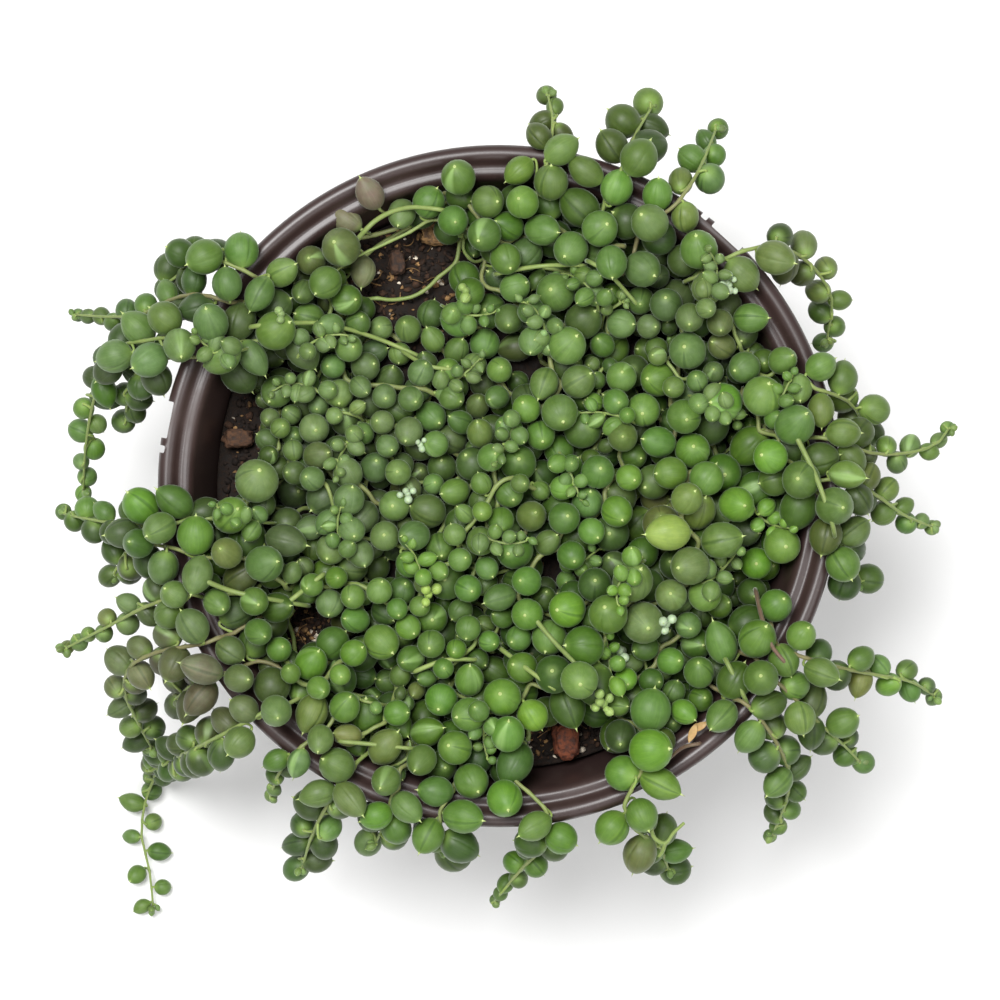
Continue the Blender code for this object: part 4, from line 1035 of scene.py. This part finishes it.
mixSkin = soilMaterial()
rng = np.random.default_rng(11)
mixShape = Shape()
edge = innerRadius - 0.2 * (101 - soilLevel) - 1.2
mixRings = []
steps = soilLook["steps"]
turn = 2 * math.pi * np.arange(steps) / steps
for k in range(soilLook["rings"]):
    rho = edge * (1 - k / soilLook["rings"])
    x, y = rho * np.cos(turn), rho * np.sin(turn)
    height = np.asarray(soilHeight(x, y)) - 0.5
    rough = [noise.fractal(Vector((a / 2.2, b / 2.2, 3.0)), 0.6, 2.2, 5) for a, b in zip(x, y)]
    mixRings.append(np.stack([x, y, height + soilLook["relief"] * np.array(rough)], -1))
low = [np.stack([r * np.cos(turn), r * np.sin(turn), np.full(steps, z)], -1)
       for r, z in ((20.0, 3.4), (53.4, 3.4), (63.0, 50.0))]
rings = np.array([*low, *mixRings])
poles = np.array([[0, 0, 3.4], [0, 0, float(soilHeight(0, 0)) - 0.5]])
mixShape.addRings(rings, poles, np.linspace(0, 1, steps + 1), np.linspace(0.02, 0.8, len(rings)),
                  (0, 0, 1, 1), np.array([*soilLook["dark"], 1]), plainLine)
made = 0
while made < soilLook["crumbs"]:
    if rng.uniform() < 0.62:
        x, y = inOpenPlace(0.6, rng)
    else:
        x, y = rng.uniform(-edge, edge, 2)
    if math.hypot(x, y) > edge - 1.5:
        continue
    size = 0.35 + 0.8 * rng.uniform() ** 2.2
    pick = rng.uniform()
    name = "dark" if pick < 0.5 else "brown" if pick < 0.86 else "tan" if pick < 0.965 else "stone"
    z = float(soilHeight(x, y)) - 0.5 + size * 0.25
    points, faces = lump((x, y, z), np.array([1.25, 0.9, 0.6]) * size, rng)
    tint = np.array([*(soilLook[name] * rng.uniform(0.7, 1.3)), 1])
    mixShape.addMesh(points, faces, tint, plainLine, (0.01, 0.82, 0.99, 0.99))
    made += 1
for cx, cy, count in ((-24, 67, 46), (-17, 64, 26), (-47, -36, 8), (52, 60, 8)):
    for _ in range(count):  # heaps of pale crumbs
        x, y = rng.normal(cx, 1.9), rng.normal(cy, 1.3)
        if math.hypot(x, y) > edge - 1.5:
            continue
        z = float(soilHeight(x, y)) + rng.uniform(0, 1.2)
        points, faces = lump((x, y, z), np.array([1.0, 0.8, 0.7]) * rng.uniform(0.4, 0.9), rng)
        mixShape.addMesh(points, faces, np.array([*(soilLook["tan"] * rng.uniform(0.75, 1.25)), 1]),
                         plainLine, (0.01, 0.82, 0.99, 0.99))
for _ in range(soilLook["fibres"]):
    x, y = inOpenPlace(0.55, rng)
    if math.hypot(x, y) > edge - 6:
        continue
    heading, long = rng.uniform(0, 6.28), rng.uniform(2, 6)
    t = np.linspace(-0.5, 0.5, 7)
    curl = rng.normal(0, 0.9)
    fx = x + long * t * math.cos(heading) - curl * t ** 2 * 4 * math.sin(heading)
    fy = y + long * t * math.sin(heading) + curl * t ** 2 * 4 * math.cos(heading)
    fz = np.asarray(soilHeight(fx, fy)) + 0.1 + rng.uniform(0, 0.5)
    shade = soilLook["tan"] * rng.uniform(0.35, 1.1)
    addTube(mixShape, np.stack([fx, fy, fz], -1), np.full(7, rng.uniform(0.07, 0.17)), 5,
            (0.01, 0.82, 0.99, 0.99), np.array([*shade, 1]))
mix = mixShape.finish("potting_mix_crumbs", mixSkin)
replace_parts(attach(mix, "root"), "potting_mix")

barkLook = {"bark_red": srgb(94, 52, 35), "bark_wall": srgb(74, 54, 40), "bark_north": srgb(122, 98, 66),
            "bark_side": srgb(60, 44, 34)}
barkSkin = barkMaterial()
for name, colour in barkLook.items():
    low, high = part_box(name)
    middle, half3 = np.array((low + high) / 2) / mm, np.array((high - low) / 2) / mm
    points, faces = ballMesh(4)
    bumps = [noise.fractal(Vector(p * 1.3) + Vector((len(name), 0, 0)), 0.7, 2.1, 4) for p in points]
    slab = np.sign(points) * np.abs(points) ** 0.72
    points = slab * (0.88 + 0.22 * np.array(bumps))[:, None] * half3 + middle
    chip = Shape()
    chip.addMesh(points, faces, np.array([*colour, 1]), plainLine, (0, 0, 1, 1))
    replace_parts(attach(chip.finish(name + "_chip", barkSkin), "root"), name)
print("made the mix and bark")

# Pot

potSteps = 192
potOutline = [
    (0.0, 3.0), (30.0, 3.0), (52.8, 3.0), (54.1, 3.5), (54.6, 5.0), (64.2, 53.0), (73.7, 100.2),
    (74.1, 101.6), (74.8, 102.6), (75.7, 102.95), (76.6, 102.7), (77.2, 102.65), (77.8, 102.95),
    (78.4, 103.9), (79.1, 104.7), (80.1, 105.0), (81.1, 104.85), (81.9, 104.3), (82.35, 103.5),
    (82.5, 102.4), (82.3, 99.6), (81.75, 95.0), (81.3, 91.6), (81.1, 91.05), (80.6, 90.85),
    (80.1, 91.05), (79.95, 91.6), (79.4, 99.0), (79.1, 99.45), (76.8, 99.45), (76.35, 99.1),
    (66.0, 50.0), (56.0, 2.2), (55.7, 0.9), (55.2, 0.15), (54.4, 0.0), (30.0, 0.0), (0.0, 0.0),
]


def makePot():
    mesh = bpy.data.meshes.new("pot_turned")
    edges = [(k, k + 1) for k in range(len(potOutline) - 1)]
    mesh.from_pydata([(r * mm, 0, z * mm) for r, z in potOutline], edges, [])
    pot = addObject("pot_turned", mesh)
    screw = pot.modifiers.new("Turn", "SCREW")
    screw.axis, screw.angle = "Z", 2 * math.pi
    screw.steps = screw.render_steps = potSteps
    screw.use_merge_vertices, screw.merge_threshold = True, 0.00001
    cutters = []

    def addCutter(shape, place, turn):
        block = bpy.data.meshes.new("cutter")
        shape.to_mesh(block)
        shape.free()
        cutter = addObject("cutter", block)
        cutter.location = Vector(place) * mm
        cutter.rotation_euler.z = turn
        cutters.append(cutter)
        boolean = pot.modifiers.new("Cut", "BOOLEAN")
        boolean.operation, boolean.object = "DIFFERENCE", cutter

    for degrees in notchAngles:
        turn = math.radians(degrees)
        across, ahead = (-math.sin(turn), math.cos(turn)), (math.cos(turn), math.sin(turn))
        for wide, offset in ((notchLong, 0.0), (notchLug, notchLong / 2 + notchLug * 1.5)):
            shape = bmesh.new()
            bmesh.ops.create_cube(shape, size=1)
            bmesh.ops.scale(shape, vec=Vector((4.4, wide, 18)) * mm, verts=shape.verts)
            bmesh.ops.bevel(shape, geom=shape.edges[:], offset=0.35 * mm, segments=3, profile=0.5,
                            affect="EDGES")
            x, y = (83 * a + offset * b for a, b in zip(ahead, across))
            addCutter(shape, (x, y, 98), turn)
    for k in range(holeCount):
        turn = 2 * math.pi * (k + 0.5) / holeCount
        shape = bmesh.new()
        bmesh.ops.create_cone(shape, cap_ends=True, segments=32, radius1=holeRadius * mm,
                              radius2=holeRadius * mm, depth=12 * mm)
        addCutter(shape, (holeRing * math.cos(turn), holeRing * math.sin(turn), 1.5), 0.0)
    graph = bpy.context.evaluated_depsgraph_get()
    mesh = bpy.data.meshes.new_from_object(pot.evaluated_get(graph))
    for helper in (*cutters, pot):
        bpy.data.objects.remove(helper)
    made = addObject("pot_fine", mesh)
    mesh.shade_smooth()
    mesh.set_sharp_from_angle(angle=math.radians(38))
    mesh.materials.append(potMaterial())
    return made


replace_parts(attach(makePot(), "root"), "pot")
print("made the pot")

# Stems that lie over the leaves, and small young or dry things

def topAt(x, y, reach=0.9):
    away = np.hypot(allLeaves[:, 0] - x, allLeaves[:, 1] - y)
    over = away < allLeaves[:, 3] + reach
    if not over.any():
        return float(soilHeight(x, y)) if math.hypot(x, y) < innerRadius - 4 else rimTop + reach
    near = allLeaves[over]
    lift = np.sqrt(np.maximum(0, (near[:, 3] + reach) ** 2 - away[over] ** 2))
    return float((near[:, 2] + lift).max())


runners = [
    ([(-60, 38), (-50, 39), (-42, 39), (-30, 36), (-18, 31)], "green", 0.6),
    ([(-52, -29), (-47, -25), (-42, -21)], "green", 0.65),
    ([(-71, -22), (-64, -25), (-55, -27), (-46, -29)], "green", 0.65),
    ([(8, -31), (13, -37), (19, -43)], "green", 0.6),
    ([(0, -39), (7, -44), (14, -49)], "green", 0.6),
    ([(-21, -45), (-13, -42), (-5, -42)], "green", 0.6),
    ([(-39, -61), (-29, -62), (-20, -63)], "green", 0.55),
    ([(70, 13), (74, 5), (77, -3), (80, -12)], "green", 0.65),
    ([(-1, 51), (10, 53), (21, 53)], "green", 0.6),
    ([(21, 54), (27, 50), (34, 43)], "green", 0.55),
    ([(-36, 57), (-30, 64), (-22, 67), (-12, 66)], "green", 0.65),
    ([(62, -25), (63, -32), (65, -38), (69, -43)], "brown", 0.55),
    ([(49, -62), (44, -63), (39, -66)], "brown", 0.5),
    ([(-24, 33), (-17, 29), (-8, 28)], "green", 0.55),
    ([(54, -41), (58, -49), (60, -53)], "green", 0.6),
]
runnerDepth = 0.7  # how far a stem lies under the tops of the leaves around it
runnerShape = Shape()
rng = np.random.default_rng(23)
for number, (route, colour, radius) in enumerate(runners):
    flat = smoothLine(np.array([(x, y, 0.0) for x, y in route]), 8)
    heights = smoothed(np.array([topAt(x, y, radius + 0.15) for x, y, _ in flat]), 5, 6)
    run = np.linspace(0, 1, len(flat))
    dive = np.clip(1 - np.minimum(run, 1 - run) / 0.1, 0, 1) ** 2
    flat[:, 2] = heights - runnerDepth - 3.2 * dive
    shade = stemColours[colour] * rng.uniform(0.85, 1.12)
    row = 0.02 + 0.05 * number
    addTube(runnerShape, flat, radius * (1 - 0.15 * run), 8, (0.01, row, 0.99, row + 0.04),
            np.array([*shade, 0.4]))
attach(runnerShape.finish("stems_over_leaves", leafSkin), "root")

# Young shoots that lie on the leaves: x, y, heading in degrees, number of leaves, colour
shoots = [
    (-41, 20, 130, 8, "dusty"), (-49, 30, 55, 8, "dusty"), (-32, 13, 205, 7, "dusty"),
    (-17, 22, 25, 8, "dusty"), (10, 31, 70, 8, "dusty"), (24, 42, 105, 7, "middle"),
    (46, 42, 30, 9, "dusty"), (5, 18, 250, 7, "dusty"), (14, 9, 300, 7, "middle"),
    (45, 22, 340, 8, "dusty"), (35, -18, 200, 7, "fresh"), (-19, -25, 85, 6, "fresh"),
    (14, -24, 45, 7, "middle"), (26, -50, 80, 8, "fresh"), (47, -24, 20, 8, "dusty"),
    (-36, -18, 120, 7, "middle"), (-54, -9, 175, 7, "middle"), (64, 14, 65, 7, "middle"),
    (33, 15, 155, 7, "middle"), (-6, -10, 320, 7, "dusty"), (-14, 44, 330, 7, "middle"),
    (-2, -52, 250, 7, "middle"), (60, -2, 290, 7, "fresh"), (-60, 33, 200, 7, "dusty"),
]
shootLook = {
    "leafPitch": 2.3,  # in millimetres, between leaves along a shoot
    "leafRadius": (2.5, 1.0),  # first and last
    "stemRadius": 0.42,
    "rise": 0.5,  # of the stem over the leaves below it
}
shootCells = 14


def shootPatch(number):
    u, v = 0.01 + number % shootCells * 0.07, 0.04 + number // shootCells * 0.068
    return (u, v, u + 0.066, v + 0.064)


shootShape = Shape()
rng = np.random.default_rng(31)
cell = 0
for number, (x, y, degrees, count, colour) in enumerate(shoots):
    heading = math.radians(degrees)
    curl = rng.uniform(-0.25, 0.25)
    line = []
    for k in range(count + 1):
        line.append((x, y, 0.0))
        x += shootLook["leafPitch"] * (1 - 0.05 * k) * math.cos(heading)
        y += shootLook["leafPitch"] * (1 - 0.05 * k) * math.sin(heading)
        heading += curl
    line = np.array(line)
    heights = smoothed(np.array([topAt(a, b, 0.4) for a, b, _ in line]), 3, 3)
    line[:, 2] = heights + shootLook["rise"]
    line[0, 2] -= 3.5
    tint = np.array([*(stemColours["green"] * rng.uniform(0.85, 1.1)), 0.4])
    addTube(shootShape, smoothLine(line, 3), np.linspace(shootLook["stemRadius"], 0.25, 3 * count + 1), 7,
            (0.01 + 0.04 * number, 0.005, 0.045 + 0.04 * number, 0.03), tint)
    for k in range(1, count + 1):
        share = (k - 1) / (count - 1)
        first, last = shootLook["leafRadius"]
        radius = (first + (last - first) * share) * rng.uniform(0.85, 1.12)
        ahead = unit(line[k] - line[k - 1])
        side = np.cross(ahead, (0, 0, 1.0)) * (1 if k % 2 else -1)
        aim = unit(side + 0.35 * ahead + np.array([0, 0, rng.uniform(0.1, 0.9)]) + 0.2 * rng.normal(size=3))
        if k == count:
            aim = unit(ahead + 0.3 * rng.normal(size=3))
        centre = line[k] + aim * (radius + 0.45)
        tone, bloom, _ = leafTone(centre, radius, 0.35 + 0.5 * share, rng)
        tone = (0.45 * tone + 0.55 * leafColours[colour] * rng.uniform(0.95, 1.25)).clip(0.01, 0.9)
        addLeaf(shootShape, centre, radius, line[k], tone, min(1, bloom + 0.2), rng.uniform(0.2, 0.9),
                rng.uniform(), shootPatch(cell), rng, 0.25)
        cell += 1
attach(shootShape.finish("young_shoots", leafSkin), "root")

tipShape = Shape()
silver = srgb(168, 186, 158)
budPlaces = [(55, 48, 7, 1.0, silver), (-22, -2, 5, 1.0, silver), (40, -33, 4, 1.15, silver),
             (-19, 10, 4, 0.9, silver), (25, -52, 7, 1.2, srgb(140, 164, 92)),
             (-52, 41, 3, 1.1, srgb(130, 152, 98)), (11, 38, 4, 1.2, srgb(120, 150, 96)),
             (-17, -26, 4, 1.5, srgb(150, 176, 84)), (-8, 47, 3, 1.3, srgb(136, 160, 88)),
             (30, -40, 3, 1.2, silver)]
cell = 0
for x, y, count, size, colour in budPlaces:
    ground = topAt(x, y, 0.5)
    foot = np.array([x, y, ground - 1.5])
    shank = np.array([foot - (0, 0, 3), foot, foot + (0.3, 0.3, 1.6)])
    addTube(tipShape, shank, np.array([0.4, 0.35, 0.3]), 6,
            (0.9, 0.005, 0.99, 0.02), np.array([*stemColours["green"], 0.4]))
    for k in range(count):
        turn = 2.4 * k + rng.uniform(-0.4, 0.4)
        spread = 0.9 * size * math.sqrt(k)
        radius = size * rng.uniform(0.75, 1.1)
        place = np.array([x + spread * math.cos(turn), y + spread * math.sin(turn), 0])
        place[2] = max(topAt(place[0], place[1], 0.2) + radius * 0.6, ground)
        shade = np.clip(colour * rng.uniform(0.85, 1.15), 0, 0.9)
        u, v = 0.11 * (cell % 8), 0.15 * (cell // 8 % 6)
        addLeaf(tipShape, place, radius, foot, shade, 0.8, rng.uniform(0.3, 0.9), 0.2,
                (0.01 + u, 0.03 + v, 0.11 + u, 0.17 + v), rng, 0.9)
        cell += 1
purpleLeaves = [((-31, 70.2, 106.6), 3.7, (-25, 66.5, 99)), ((-37, 64.5, 100.5), 3.5, (-31.5, 61.5, 97)),
                ((-33, 52.5, 97.5), 3.5, (-34.5, 58, 96))]  # at the upper left: middle, radius, joint
for k, (place, radius, foot) in enumerate(purpleLeaves):
    shade = leafColours["purple"] * (1.45, 1.25, 1.15)[k] + leafColours["middle"] * (0.0, 0.25, 0.45)[k]
    addLeaf(tipShape, np.array(place), radius, np.array(foot, float), shade, 0.7, 1.0, 0.6,
            (0.01 + 0.3 * k, 0.93, 0.29 + 0.3 * k, 0.99), rng, 0.05)
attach(tipShape.finish("young_tips", leafSkin), "root")

dryShape = Shape()
fork = [[(36.5, -78, 107.5), (37, -84, 106.5), (40, -86, 105.5), (42, -83.5, 106), (44.5, -81, 107)],
        [(40, -86, 105.5), (39.5, -88, 104.5), (38.6, -89.5, 103.5)]]
for points in fork:
    line = smoothLine(np.array(points, float), 5)
    addTube(dryShape, line, np.linspace(0.55, 0.4, len(line)), 7, (0.02, 0.02, 0.98, 0.1),
            np.array([*stemColours["green"], 0.3]))
for x, y, heading in ((48, -58, 0.5), (46.6, -59.4, 1.2)):
    ground = topAt(x, y, 0.4)
    rows = []
    for k, t in enumerate(np.linspace(-1, 1, 9)):
        wide = 1.5 * (1 - t * t) + 0.12
        centre = np.array([x + 2.6 * t * math.cos(heading), y + 2.6 * t * math.sin(heading),
                           ground + 0.7 + 0.35 * math.sin(3 * t)])
        side = np.array([-math.sin(heading), math.cos(heading), 0])
        cup = 0.3 * math.sin(2 * t + heading)
        loop = [centre + side * wide * math.cos(a) * 0.6
                + np.array([0, 0, 1]) * (0.14 * math.sin(a) + cup * math.cos(a) ** 2)
                for a in 2 * math.pi * np.arange(10) / 10]
        rows.append(loop)
    rows = np.array(rows)
    dryShape.addRings(rows, rows[[0, -1]].mean(1), np.linspace(0, 1, 11), np.linspace(0, 1, 9),
                      (0.02, 0.2, 0.98, 0.9), np.array([*srgb(176, 142, 96), 0.1]), plainLine)
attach(dryShape.finish("dry_scraps", leafSkin), "root")
print("made the small things")

# Floor, light and camera

stageLook = {
    "floor": (0.86, 0.86, 0.855, 1.0),
    "world": 0.31,  # strength of the even light
    "viewWide": 0.241,  # in metres, across the picture at the rim's height
    "viewFar": 0.8,  # in metres, from the camera down to the rim
}
floorSkin = Nodes("floor_skin")
floorSkin.set(Base_Color=stageLook["floor"], Roughness=0.8, Specular_IOR_Level=0.2)
bpy.ops.mesh.primitive_plane_add(size=6, location=(0, 0, 0))
floor = bpy.context.object
floor.name = "floor"
floor.data.materials.append(floorSkin.material)

lights = [
    ("key", (-0.3, 0.4, 1.5), 0.7, 28.5),
    ("fill", (0.7, -0.3, 1.35), 1.0, 8.0),
    ("front", (-0.2, -1.1, 1.1), 1.0, 5.0),
]
for name, place, wide, power in lights:
    data = bpy.data.lights.new(name, "AREA")
    data.shape, data.size, data.energy = "DISK", wide, power
    lamp = addObject(name, data)
    lamp.location = place
    lamp.rotation_euler = (Vector((0, 0, 0.08)) - Vector(place)).to_track_quat("-Z", "Y").to_euler()

world = bpy.data.worlds.new("studio")
bpy.context.scene.world = world
world.use_nodes = True
world.node_tree.nodes["Background"].inputs["Color"].default_value = (1, 1, 1, 1)
world.node_tree.nodes["Background"].inputs["Strength"].default_value = stageLook["world"]

cameraData = bpy.data.cameras.new("camera")
camera = addObject("camera", cameraData)
cameraData.sensor_width = 36
cameraData.angle = 2 * math.atan(0.5 * stageLook["viewWide"] / stageLook["viewFar"])
cameraData.shift_x, cameraData.shift_y = 0.001, -0.014
cameraData.clip_start, cameraData.clip_end = 0.01, 20
camera.location = (0, 0, stageLook["viewFar"] + rimTop * mm)
camera.rotation_euler = (0, 0, 0)
bpy.context.scene.camera = camera
bpy.context.scene.view_settings.view_transform = "Standard"
